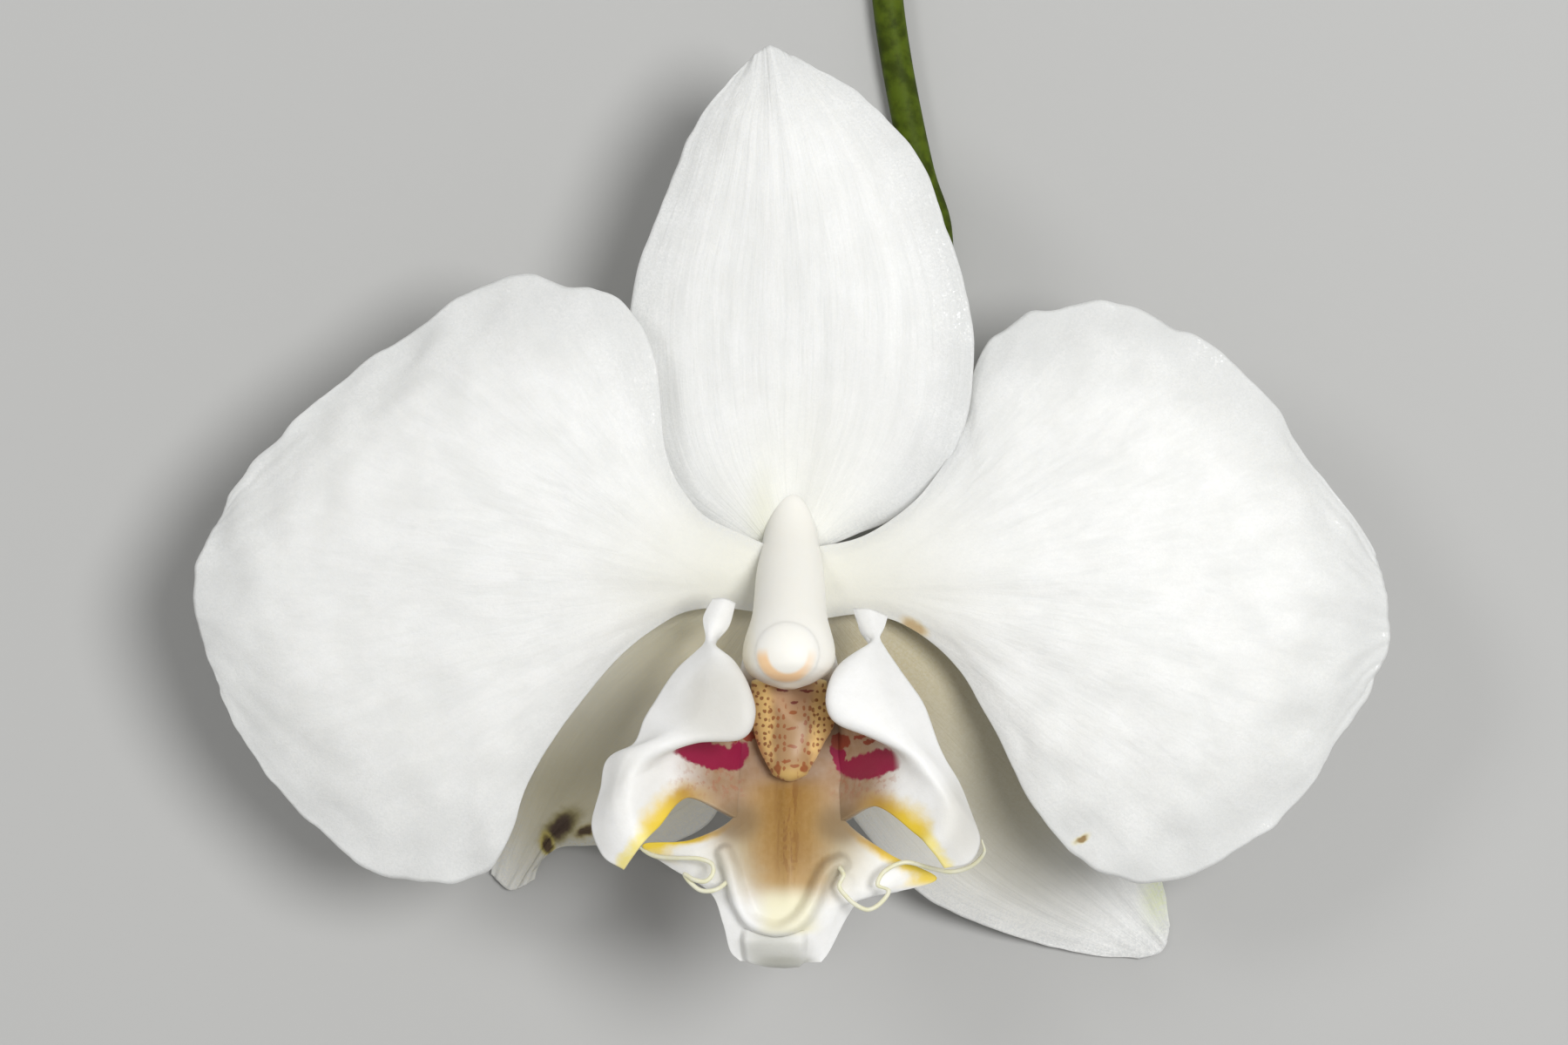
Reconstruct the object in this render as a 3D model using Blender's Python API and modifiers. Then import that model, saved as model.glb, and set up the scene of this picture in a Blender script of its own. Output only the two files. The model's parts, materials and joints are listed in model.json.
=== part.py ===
"""Moth orchid flower, picked with a length of stem and lying on its back, face up.

The flower is a crown of separate organs round one heart: three sepals, two petals, the lip with its
callus, the column with its anther cap, and the stem with the ovary. Each sheet is lofted across a few
named lines, such as its two margins and the midrib between them, and then given its thickness.
All places are millimetres from the heart, x to the right, y towards the back sepal and z towards
whoever faces the flower. The last step moves them to the surface on which the flower lies.
"""

import math

import bmesh
import bpy
from mathutils import Vector

MM = 0.001
HEART = Vector((-0.4, -9.17, 18.0))  # the heart's place over the middle of the flower's footprint

TEPAL_THICKNESS = 0.8
LIP_THICKNESS = 0.75
SEAT_GAP = 0.3  # between organs that touch on the living flower
FLAT_SPOT = 0.3  # a tip this near the surface is pressed flat on it
FULL_BULGE_WIDTH = 5.0  # a strip of a side lobe narrower than this bulges less

STEM_RADIUS = 1.35
OVARY_RADIUS = 2.1
STEM_FLOOR = STEM_RADIUS - HEART.z  # height of the stem's axis where it lies on the surface

SEPAL_CELLS = (20, 10)  # lengthwise and across
PETAL_CELLS = (24, 14)

DORSAL_SEPAL = {
    "left": [(-1.4, 3.2), (-7.8, 4.6), (-12.0, 9.4), (-13.4, 15.4), (-13.5, 20.6), (-12.6, 25.0),
             (-10.9, 29.6), (-9.0, 34.5), (-6.4, 38.8), (-3.6, 42.0)],
    "right": [(1.9, 3.2), (8.2, 5.6), (12.2, 9.4), (14.9, 14.0), (15.5, 19.0), (14.6, 24.0),
              (12.9, 29.2), (10.8, 34.2), (7.2, 38.6), (1.9, 42.0)],
    "midrib": [(0.3, 3.1), (0.9, 17.0), (0.6, 30.0), (-1.5, 43.6)],
    "left height": [-0.9, -1.4, -1.6, -1.4, -1.2, -1.0],
    "right height": [-0.9, -1.2, 0.9, 0.9, 0.2, -0.6],
    "midrib height": [-0.8, -0.4, 0.8, 1.2, 0.9, -0.4],
}
LEFT_PETAL = {
    "left": [(-2.6, 1.9), (-6.9, 4.0), (-9.7, 7.9), (-10.7, 14.0), (-12.2, 19.6), (-16.0, 23.2),
             (-21.8, 24.5), (-27.1, 22.8), (-33.0, 18.9), (-39.4, 13.9), (-44.0, 9.6), (-46.9, 5.8)],
    "right": [(-2.8, -2.9), (-5.8, -3.3), (-9.0, -4.0), (-12.5, -6.2), (-15.0, -8.4), (-18.9, -13.4),
              (-22.1, -18.6), (-24.0, -24.4), (-29.5, -26.6), (-36.0, -25.0), (-42.5, -19.3),
              (-47.2, -11.3)],
    "midrib": [(-2.5, -0.6), (-17.0, 1.5), (-34.0, 1.0), (-49.7, -1.6)],
    "left height": [1.0, 1.4, 1.8, 1.6, 0.8, -0.2, -0.8, -1.2],
    "right height": [1.0, 1.3, 1.2, 0.6, -0.2, -1.0, -1.6, -1.4],
    "midrib height": [1.1, 2.2, 3.2, 3.7, 3.6, 2.8, 1.4, -0.6],
}
RIGHT_PETAL = {
    "left": [(3.2, -2.9), (7.3, -4.1), (11.2, -5.7), (15.2, -10.2), (18.1, -15.4), (20.7, -20.4),
             (24.6, -24.6), (30.0, -26.7), (36.0, -25.1), (41.5, -21.0), (45.7, -15.4), (49.1, -10.2)],
    "right": [(3.0, 1.9), (7.7, 3.3), (11.5, 6.6), (14.2, 10.5), (15.4, 15.5), (17.4, 19.4),
              (21.9, 21.4), (27.3, 22.2), (34.2, 19.1), (41.0, 13.3), (45.6, 6.6), (49.4, 1.0)],
    "midrib": [(2.9, -0.6), (18.0, 0.3), (34.0, -1.2), (50.5, -4.8)],
    "left height": [1.0, 1.3, 1.2, 0.6, -0.2, -1.0, -1.6, -1.4],
    "right height": [1.0, 1.4, -0.3, -0.8, -0.2, 0.2, -0.6, -1.2],
    "midrib height": [1.1, 2.2, 3.2, 3.7, 3.6, 2.8, 1.4, -0.6],
}
LEFT_SEPAL = {
    "left": [(-2.7, -1.1), (-9.0, -2.0), (-15.0, -5.0), (-20.0, -9.6), (-23.0, -14.6), (-24.6, -19.4),
             (-25.3, -23.6), (-25.9, -27.0)],
    "right": [(-0.4, -2.6), (-2.6, -8.5), (-4.0, -14.5), (-5.6, -21.0), (-9.2, -23.6), (-15.0, -24.3),
              (-19.6, -24.3), (-22.4, -27.4)],
    "midrib": [(-1.6, -1.9), (-11.0, -12.0), (-19.0, -20.5), (-24.4, -28.4)],
    "left height": [-1.4, -2.0, -3.6, -6.2, -9.4, -12.8, -15.8, -17.5, -17.6],
    "right height": [-1.4, -2.8, -5.2, -8.4, -11.4, -14.0, -16.2, -17.5, -17.6],
    "midrib height": [-1.4, -1.6, -2.8, -5.0, -8.2, -12.0, -15.6, -17.5, -17.6],
}
RIGHT_SEPAL = {
    "left": [(0.8, -2.6), (2.6, -9.0), (3.8, -15.5), (5.4, -21.2), (10.8, -27.7), (17.2, -31.4),
             (25.0, -33.7), (30.6, -34.3)],
    "right": [(3.1, -1.1), (10.5, -3.4), (18.1, -8.2), (24.0, -13.6), (28.0, -18.6), (31.0, -23.4),
              (32.6, -28.2), (33.2, -31.4)],
    "midrib": [(2.0, -1.9), (13.5, -14.0), (24.0, -24.5), (32.6, -33.6)],
    "left height": [-1.4, -2.8, -5.2, -8.2, -11.2, -13.8, -16.0, -17.5, -17.6],
    "right height": [-1.4, -2.0, -3.6, -6.2, -9.2, -12.6, -15.6, -17.5, -17.6],
    "midrib height": [-1.4, -1.6, -2.8, -5.0, -8.0, -11.8, -15.4, -17.5, -17.6],
}

# The lip's floor, from its claw on the column's foot to the notches and out to the winged tip.
LIP_FLOOR = {
    "left": [(-1.4, -2.6, 1.4), (-3.2, -5.4, 2.6), (-4.3, -8.2, 3.5), (-4.6, -11.2, 3.9),
             (-4.7, -15.0, 4.8), (-4.8, -18.2, 6.0), (-4.7, -20.8, 7.0), (-8.0, -22.5, 7.9),
             (-12.0, -23.0, 7.5), (-10.0, -24.7, 7.6), (-7.2, -26.9, 8.2), (-5.4, -29.3, 8.6),
             (-4.8, -31.5, 8.6), (-4.0, -32.4, 8.7)],
    "keel": [(0.1, -2.6, 1.3), (0.1, -5.4, 2.3), (0.1, -8.2, 3.1), (0.1, -11.2, 3.7),
             (0.1, -14.6, 4.6), (0.1, -17.8, 6.0), (0.1, -20.2, 7.3), (0.1, -22.8, 8.5),
             (0.1, -25.2, 9.4), (0.1, -27.2, 9.9), (0.1, -29.0, 10.2), (0.0, -30.8, 10.2),
             (-0.2, -32.0, 10.0), (-0.5, -32.7, 9.6)],
    "right": [(1.6, -2.6, 1.4), (3.4, -5.4, 2.6), (4.5, -8.2, 3.5), (4.8, -11.2, 3.9),
              (4.9, -15.0, 4.8), (4.9, -18.4, 6.0), (4.8, -21.0, 7.0), (8.2, -23.6, 8.0),
              (12.2, -25.6, 7.5), (9.4, -26.6, 7.9), (6.4, -26.9, 8.4), (4.9, -28.6, 8.5),
              (3.4, -31.5, 8.6), (2.7, -32.5, 8.7)],
}
# Each side lobe stands up from the floor, folds outward at its crest and ends in a free margin.
LEFT_LOBE = {
    "root": [(-4.1, -20.6, 7.1), (-4.1, -19.4, 6.6), (-4.1, -18.2, 6.1), (-4.1, -16.9, 5.5),
             (-4.1, -15.7, 5.0), (-4.0, -14.6, 4.6), (-3.9, -13.2, 4.2), (-3.9, -11.4, 3.8),
             (-4.0, -9.8, 3.6), (-4.4, -8.1, 3.6), (-5.6, -7.1, 4.0), (-5.2, -5.4, 3.6), (-4.4, -3.6, 3.2)],
    "fold": [(-10.7, -21.2, 12.3), (-11.6, -19.9, 12.8), (-12.1, -18.0, 13.0), (-12.1, -16.6, 12.8),
             (-10.7, -15.2, 12.7), (-7.5, -14.1, 12.7), (-4.0, -13.8, 12.9), (-3.0, -12.0, 12.9),
             (-3.5, -9.7, 12.2), (-4.6, -7.8, 10.8), (-6.1, -6.4, 9.0), (-5.1, -4.8, 7.6),
             (-4.5, -3.0, 6.4)],
    "margin": [(-13.4, -24.6, 13.0), (-15.1, -23.5, 12.5), (-16.0, -21.2, 11.8), (-15.3, -18.1, 11.2),
               (-14.8, -15.8, 11.0), (-12.7, -14.6, 10.8), (-11.7, -12.4, 10.4), (-10.5, -10.3, 9.8),
               (-8.9, -8.3, 9.4), (-8.0, -7.0, 9.1), (-7.3, -5.9, 8.6), (-7.0, -4.2, 7.6),
               (-6.2, -2.7, 6.7)],
    "wall bulge": (-0.9, 0.8, 0.5),
    "flap bulge": (0.2, 0.5, 1.0),
}
RIGHT_LOBE = {
    "root": [(4.2, -20.8, 7.1), (4.2, -19.6, 6.6), (4.2, -18.4, 6.1), (4.2, -17.2, 5.5),
             (4.3, -15.9, 5.0), (4.3, -14.7, 4.6), (4.3, -13.3, 4.2), (4.1, -11.5, 3.8),
             (4.2, -9.8, 3.6), (4.5, -8.3, 3.6), (5.8, -7.3, 4.0), (5.6, -5.9, 3.6), (5.0, -4.3, 3.2)],
    "fold": [(10.4, -21.7, 12.3), (11.2, -20.3, 12.8), (11.6, -18.2, 13.0), (10.6, -16.5, 12.8),
             (9.2, -14.9, 12.7), (6.7, -13.6, 12.7), (4.1, -12.5, 12.9), (3.3, -11.1, 12.9),
             (3.6, -9.3, 12.2), (4.6, -7.9, 10.8), (6.7, -6.6, 9.0), (6.1, -5.3, 7.6),
             (5.5, -3.5, 6.4)],
    "margin": [(12.7, -24.5, 13.0), (14.7, -24.0, 12.5), (15.6, -22.1, 11.8), (14.7, -19.7, 11.2),
               (13.9, -17.7, 11.0), (12.3, -14.7, 10.8), (11.2, -11.7, 10.4), (10.0, -9.7, 9.8),
               (8.8, -8.1, 9.4), (8.0, -6.8, 9.2), (7.6, -5.9, 8.8), (7.9, -5.0, 7.8),
               (8.2, -4.1, 6.9)],
    "wall bulge": (0.9, 0.8, 0.5),
    "flap bulge": (-0.2, 0.5, 1.0),
}
LIP_FLOOR_CELLS = (27, 10)
LOBE_CELLS = (25, 10)
RIDGE = {  # the raised white U on the lip's tip
    "path": [(-5.1, -23.8, 8.9), (-4.4, -25.7, 9.5), (-3.9, -27.4, 9.9), (-3.0, -29.0, 10.2),
             (-0.8, -30.2, 10.8), (1.3, -28.6, 10.5), (2.2, -26.6, 10.0), (2.8, -25.0, 9.6),
             (4.2, -24.3, 9.2)],
    "radii": [0.6, 0.8, 0.8, 0.8, 0.8, 0.8, 0.8, 0.7, 0.5],
}
KEEL = {
    "path": [(0.0, -18.4, 6.6), (0.1, -21.0, 8.1), (0.1, -24.6, 9.8), (0.1, -28.6, 10.5)],
    "radii": [0.5, 0.6, 0.7, 0.5],
}
LEFT_TENDRIL = {
    "path": [(-4.9, -25.2, 9.6), (-5.4, -26.0, 10.9), (-7.6, -26.1, 10.8), (-8.6, -25.4, 10.2),
             (-6.8, -24.6, 10.9), (-8.6, -23.8, 9.9), (-10.7, -23.8, 9.2), (-12.4, -23.3, 8.4)],
    "radii": [0.4, 0.35, 0.35, 0.35, 0.35, 0.35, 0.35, 0.3],
}
RIGHT_TENDRIL = {
    "path": [(4.4, -24.6, 9.6), (4.1, -26.3, 10.9), (5.6, -27.7, 11.2), (7.3, -27.6, 10.9),
             (7.6, -26.0, 10.3), (9.1, -24.4, 10.0), (11.0, -24.3, 9.6), (12.6, -25.0, 9.4),
             (14.6, -24.6, 9.9), (16.2, -23.2, 10.4), (16.1, -22.3, 10.8)],
    "radii": [0.4, 0.35, 0.35, 0.35, 0.35, 0.35, 0.35, 0.35, 0.35, 0.35, 0.3],
}

CALLUS = {
    "top": -9.9,
    "tip": -17.9,
    "centre": [-0.1, 0.3, 0.45, 0.3, 0.2],
    "half width": [2.9, 3.3, 3.2, 2.3, 1.0],
    "base": [4.8, 4.9, 5.4, 6.2, 6.9],
    "height": [2.4, 3.0, 2.6, 2.2, 1.2],
    "groove depth": 1.7,
    "groove half width": 0.9,
    "groove length": 0.3,
    "end rounding": 0.55,
    "underside": 0.35,
}
COLUMN = {
    "path": [(0.2, 0.5, -0.4), (0.2, 0.4, 1.6), (0.15, -1.3, 4.4), (0.1, -4.2, 7.3), (0.05, -6.8, 9.1),
             (0.0, -8.5, 9.5), (0.0, -9.5, 9.5), (0.0, -9.9, 9.5)],
    "radii": [2.35, 2.4, 2.75, 3.1, 3.7, 3.4, 2.4, 1.0],
}
ANTHER_CAP = {"centre": (0.0, -7.4, 11.1), "half size": (2.4, 2.3, 1.9)}
STEM = {
    "path": [(0.2, 0.4, -0.7), (0.4, 0.6, -3.4), (1.8, 2.6, -7.8), (5.4, 8.0, -13.0),
             (9.6, 15.0, -15.9), (12.6, 23.0, STEM_FLOOR), (12.9, 29.0, STEM_FLOOR),
             (11.4, 34.0, STEM_FLOOR), (9.9, 41.0, STEM_FLOOR), (8.9, 47.0, STEM_FLOOR),
             (8.3, 52.5, STEM_FLOOR)],
    "radii": [OVARY_RADIUS, 2.2, 2.1, 1.85, 1.55] + [STEM_RADIUS] * 6,
}

WHITE = (0.86, 0.86, 0.84)
CREAM = (0.83, 0.80, 0.70)
YELLOW = (0.80, 0.60, 0.16)
APRICOT = (0.88, 0.66, 0.45)
GREEN = (0.25, 0.38, 0.08)


def clear_scene():
    for obj in list(bpy.data.objects):
        bpy.data.objects.remove(obj, do_unlink=True)


def new_collection(name):
    collection = bpy.data.collections.new(name)
    bpy.context.scene.collection.children.link(collection)
    return collection


def new_material(name, colour, roughness):
    material = bpy.data.materials.new(name)
    material.use_nodes = True
    shader = material.node_tree.nodes["Principled BSDF"]
    shader.inputs["Base Color"].default_value = (*colour, 1.0)
    shader.inputs["Roughness"].default_value = roughness
    shader.inputs["Metallic"].default_value = 0.0
    return material


def new_object(name, mesh, collection):
    obj = bpy.data.objects.new(name, mesh)
    collection.objects.link(obj)
    return obj


def smooth_point(points, share):
    """The point at this share of the way along a smooth curve through the points."""
    last = len(points) - 1
    place = min(max(share, 0.0), 1.0) * last
    i = min(int(place), last - 1)
    f = place - i
    here, there = points[i], points[i + 1]
    before = points[i - 1] if i > 0 else here * 2 - there
    after = points[i + 2] if i + 2 <= last else there * 2 - here
    return 0.5 * (
        here * 2
        + (there - before) * f
        + (before * 2 - here * 5 + there * 4 - after) * f**2
        + (here * 3 - before - there * 3 + after) * f**3
    )


def line(points, heights=None):
    """The points as vectors. Flat ones get their heights from a smooth run through the values given."""
    if heights is None:
        return [Vector(point) for point in points]
    last = len(points) - 1
    return [
        Vector((x, y, smooth_point(heights, i / last))) for i, (x, y) in enumerate(points)
    ]


def resampled(points, count):
    return [smooth_point(points, i / (count - 1)) for i in range(count)]


def between(first, second, bulge):
    """The line halfway between two others, pushed off the straight where they are well apart."""
    return [
        (a + b) / 2 + Vector(bulge) * min((b - a).length / FULL_BULGE_WIDTH, 1.0)
        for a, b in zip(first, second)
    ]


def loft(name, lines, cells, thickness, collection):
    """A sheet through the lines, split into the same triangles on both faces."""
    along, across = cells
    bm = bmesh.new()
    bmesh.ops.create_grid(bm, x_segments=along, y_segments=across, size=1.0)
    for vert in bm.verts:
        down, over = (vert.co.x + 1) / 2, (vert.co.y + 1) / 2
        vert.co = smooth_point([smooth_point(one, down) for one in lines], over) * MM
    bmesh.ops.triangulate(bm, faces=bm.faces)
    mesh = bpy.data.meshes.new(name)
    bm.to_mesh(mesh)
    bm.free()
    obj = new_object(name, mesh, collection)
    solidify = obj.modifiers.new("thickness", "SOLIDIFY")
    solidify.thickness = thickness * MM
    solidify.offset = 0.0
    return obj


def tube(name, path, radii, points, resolution, collection):
    """A round stem along a smooth path, closed at both ends."""
    curve = bpy.data.curves.new(name, "CURVE")
    curve.dimensions = "3D"
    curve.bevel_depth = MM
    curve.bevel_resolution = resolution
    curve.use_fill_caps = True
    curve.twist_mode = "MINIMUM"
    spline = curve.splines.new("POLY")
    spline.points.add(points - 1)
    for i, point in enumerate(spline.points):
        share = i / (points - 1)
        point.co = (*(smooth_point(line(path), share) * MM), 1.0)
        point.radius = smooth_point(radii, share)
    guide = new_object(name, curve, collection)
    mesh = mesh_of(guide)
    bpy.data.objects.remove(guide)
    return new_object(name, mesh, collection)


def mesh_of(obj):
    """The object's shape as a mesh of its own, with loose ends welded."""
    graph = bpy.context.evaluated_depsgraph_get()
    mesh = bpy.data.meshes.new_from_object(obj.evaluated_get(graph))
    bm = bmesh.new()
    bm.from_mesh(mesh)
    bmesh.ops.remove_doubles(bm, verts=bm.verts, dist=1e-6)
    bmesh.ops.recalc_face_normals(bm, faces=bm.faces)
    bm.to_mesh(mesh)
    bm.free()
    return mesh


def apply_modifiers(obj):
    mesh = mesh_of(obj)
    obj.modifiers.clear()
    obj.data = mesh


def ball(name, centre, half_size, segments, rings, collection):
    bm = bmesh.new()
    bmesh.ops.create_uvsphere(bm, u_segments=segments, v_segments=rings, radius=1.0)
    for vert in bm.verts:
        vert.co = (Vector(centre) + vert.co * Vector(half_size)) * MM
    mesh = bpy.data.meshes.new(name)
    bm.to_mesh(mesh)
    bm.free()
    return new_object(name, mesh, collection)


def build_tepal(name, form, cells, collection):
    stations = len(form["left"])
    left = line(form["left"], form["left height"])
    right = line(form["right"], form["right height"])
    midrib_plan = [Vector(point) for point in form["midrib"]]
    midrib = line(resampled(midrib_plan, stations), form["midrib height"])
    return loft(name, [left, midrib, right], cells, TEPAL_THICKNESS, collection)


def build_side_lobe(name, form, collection):
    root, fold, margin = line(form["root"]), line(form["fold"]), line(form["margin"])
    wall = between(root, fold, form["wall bulge"])
    flap = between(fold, margin, form["flap bulge"])
    return loft(name, [root, wall, fold, flap, margin], LOBE_CELLS, LIP_THICKNESS, collection)


def build_lip(collection, joined):
    """The lip grew as one piece: floor, side lobes, ridge, keel and tendrils in one body."""
    lines = [line(LIP_FLOOR[side]) for side in ("left", "keel", "right")]
    lip = loft("lip", lines, LIP_FLOOR_CELLS, LIP_THICKNESS, collection)
    build_side_lobe("left_lobe", LEFT_LOBE, joined)
    build_side_lobe("right_lobe", RIGHT_LOBE, joined)
    tube("ridge", RIDGE["path"], RIDGE["radii"], 16, 1, joined)
    tube("keel", KEEL["path"], KEEL["radii"], 8, 1, joined)
    tube("left_tendril", LEFT_TENDRIL["path"], LEFT_TENDRIL["radii"], 20, 0, joined)
    tube("right_tendril", RIGHT_TENDRIL["path"], RIGHT_TENDRIL["radii"], 24, 0, joined)
    union = lip.modifiers.new("one body", "BOOLEAN")
    union.operation = "UNION"
    union.operand_type = "COLLECTION"
    union.collection = joined
    apply_modifiers(lip)
    for obj in list(joined.objects):
        bpy.data.objects.remove(obj)
    return lip


def build_callus(collection):
    """A cushion with two horns and a groove between them, tapering to one tip on the lip's floor."""
    obj = ball("callus", (0, 0, 0), (1, 1, 1), 18, 12, collection)
    length = CALLUS["tip"] - CALLUS["top"]
    for vert in obj.data.vertices:
        place = vert.co / MM
        share = (1 - place.y) / 2
        ring = max(math.sqrt(max(1 - place.y**2, 0.0)), 1e-6)
        side, up = place.x / ring, place.z / ring
        fullness = min(ring / CALLUS["end rounding"], 1.0)
        width = smooth_point(CALLUS["half width"], share) * fullness
        height = smooth_point(CALLUS["height"], share) * fullness
        in_groove = math.exp(-((side * width / CALLUS["groove half width"]) ** 2))
        fade = max(1 - share / CALLUS["groove length"], 0.0)
        top = (height - CALLUS["groove depth"] * in_groove * fade) * max(up, 0.0)
        bottom = CALLUS["underside"] * fullness * min(up, 0.0)
        vert.co = MM * Vector(
            (
                smooth_point(CALLUS["centre"], share) + side * width,
                CALLUS["top"] + share * length,
                smooth_point(CALLUS["base"], share) + top + bottom,
            )
        )
    return obj


def build_column(collection, cutters):
    """The column arches over the lip's root. A pocket in its end holds the anther cap."""
    column = tube("column", COLUMN["path"], COLUMN["radii"], 18, 3, collection)
    pocket_size = Vector(ANTHER_CAP["half size"]) + Vector((SEAT_GAP,) * 3)
    pocket = ball("pocket", ANTHER_CAP["centre"], pocket_size, 16, 10, cutters)
    pocket.hide_render = True
    pocket.display_type = "WIRE"
    cut = column.modifiers.new("cap pocket", "BOOLEAN")
    cut.operation = "DIFFERENCE"
    cut.object = pocket
    return column


def build_flower(collection, joined, cutters):
    white = new_material("petal white", WHITE, 0.55)
    cream = new_material("column cream", CREAM, 0.45)
    parts = {
        "sepal_dorsal": build_tepal("sepal_dorsal", DORSAL_SEPAL, SEPAL_CELLS, collection),
        "sepal_lateral_left": build_tepal("sepal_lateral_left", LEFT_SEPAL, SEPAL_CELLS, collection),
        "sepal_lateral_right": build_tepal("sepal_lateral_right", RIGHT_SEPAL, SEPAL_CELLS, collection),
        "petal_left": build_tepal("petal_left", LEFT_PETAL, PETAL_CELLS, collection),
        "petal_right": build_tepal("petal_right", RIGHT_PETAL, PETAL_CELLS, collection),
    }
    for part in parts.values():
        part.data.materials.append(white)
    parts["lip"] = build_lip(collection, joined)
    parts["lip"].data.materials.append(new_material("lip white", WHITE, 0.5))
    parts["callus"] = build_callus(collection)
    parts["callus"].data.materials.append(new_material("callus yellow", YELLOW, 0.35))
    parts["column"] = build_column(collection, cutters)
    parts["column"].data.materials.append(cream)
    cap = ball("anther_cap", ANTHER_CAP["centre"], ANTHER_CAP["half size"], 16, 10, collection)
    cap.data.materials.append(new_material("cap apricot", APRICOT, 0.4))
    parts["anther_cap"] = cap
    stem = tube("stem_and_ovary", STEM["path"], STEM["radii"], 34, 3, collection)
    stem.data.materials.append(new_material("stem green", GREEN, 0.5))
    parts["stem_and_ovary"] = stem
    return parts


def lay_down(parts, cutters):
    """Moves every piece to its place over the surface, and presses the lowest tips flat on it."""
    for obj in parts.values():
        if not obj.modifiers or obj.modifiers[0].type == "SOLIDIFY":
            apply_modifiers(obj)
    for obj in [*parts.values(), *cutters.objects]:
        for vert in obj.data.vertices:
            vert.co += HEART * MM
            if vert.co.z < FLAT_SPOT * MM:
                vert.co.z = 0.0
        obj.data.shade_smooth()


def main():
    clear_scene()
    collection = new_collection("moth_orchid_flower")
    joined = new_collection("lip pieces")
    cutters = new_collection("cutters")
    parts = build_flower(collection, joined, cutters)
    bpy.data.collections.remove(joined)
    lay_down(parts, cutters)


main()
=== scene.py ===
import json
import math

import bmesh
import bpy
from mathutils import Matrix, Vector, noise

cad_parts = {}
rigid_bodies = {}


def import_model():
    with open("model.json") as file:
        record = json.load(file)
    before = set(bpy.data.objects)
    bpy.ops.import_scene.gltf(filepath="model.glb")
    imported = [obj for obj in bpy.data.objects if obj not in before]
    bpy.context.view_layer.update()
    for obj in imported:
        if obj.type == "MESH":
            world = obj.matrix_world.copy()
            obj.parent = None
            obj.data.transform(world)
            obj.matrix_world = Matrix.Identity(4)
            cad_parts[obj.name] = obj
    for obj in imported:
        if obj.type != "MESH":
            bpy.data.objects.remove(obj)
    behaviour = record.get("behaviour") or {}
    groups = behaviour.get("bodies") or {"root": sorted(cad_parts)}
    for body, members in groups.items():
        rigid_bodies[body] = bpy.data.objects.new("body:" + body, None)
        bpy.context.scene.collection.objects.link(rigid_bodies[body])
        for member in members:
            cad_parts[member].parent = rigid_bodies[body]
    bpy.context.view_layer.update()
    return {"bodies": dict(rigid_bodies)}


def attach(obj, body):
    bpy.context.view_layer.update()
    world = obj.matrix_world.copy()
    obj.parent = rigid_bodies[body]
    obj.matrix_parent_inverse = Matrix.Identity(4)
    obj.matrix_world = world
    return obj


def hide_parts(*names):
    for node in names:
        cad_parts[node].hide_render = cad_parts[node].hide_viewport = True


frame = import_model()
print("frame loaded, bodies:", ", ".join(frame["bodies"]))

# Every place below is in millimetres from the flower's heart, where its organs meet.
mm = 0.001
heart = Vector((-0.4, -9.17, 18.0))  # the heart in the frame


def smoothPoint(points, share):  # a point on the smooth curve through the points
    last = len(points) - 1
    place = min(max(share, 0.0), 1.0) * last
    i = min(int(place), last - 1)
    f = place - i
    here, there = points[i], points[i + 1]
    before = points[i - 1] if i > 0 else here * 2 - there
    after = points[i + 2] if i + 2 <= last else there * 2 - here
    return 0.5 * (here * 2 + (there - before) * f
                  + (before * 2 - here * 5 + there * 4 - after) * f**2
                  + (here * 3 - before - there * 3 + after) * f**3)


def lineOf(points, heights=None):  # flat points take their heights from a smooth run of values
    if heights is None:
        return [Vector(point) for point in points]
    last = len(points) - 1
    return [Vector((x, y, smoothPoint(heights, i / last))) for i, (x, y) in enumerate(points)]


def spread(points, count):
    return [smoothPoint([Vector(point) for point in points], i / (count - 1)) for i in range(count)]


def between(first, second, push):  # halfway between two lines, pushed off the straight where they are apart
    return [(a + b) / 2 + Vector(push) * min((b - a).length / 5, 1.0) for a, b in zip(first, second)]


def fade(value, low, high):  # 0 at low, 1 at high, with soft ends
    t = min(max((value - low) / (high - low), 0.0), 1.0)
    return t * t * (3 - 2 * t)


def finishPiece(name, bm, share, finish, node):  # one object of the flower, in its place in the frame
    paint, slot = finish
    uvLayer = bm.loops.layers.uv.new("UVMap")
    for face in bm.faces:
        face.smooth = True
        for loop in face.loops:
            loop[uvLayer].uv = share.get(loop.vert, (0.5, 0.5))
    for vert in bm.verts:
        vert.co = (vert.co + heart) * mm
        vert.co.z = max(vert.co.z, 0.0)
    mesh = bpy.data.meshes.new(name)
    bm.to_mesh(mesh)
    bm.free()
    piece = bpy.data.objects.new(name, mesh)
    bpy.context.scene.collection.objects.link(piece)
    mesh.materials.append(paint)
    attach(piece, "root")
    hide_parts(node)


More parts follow.
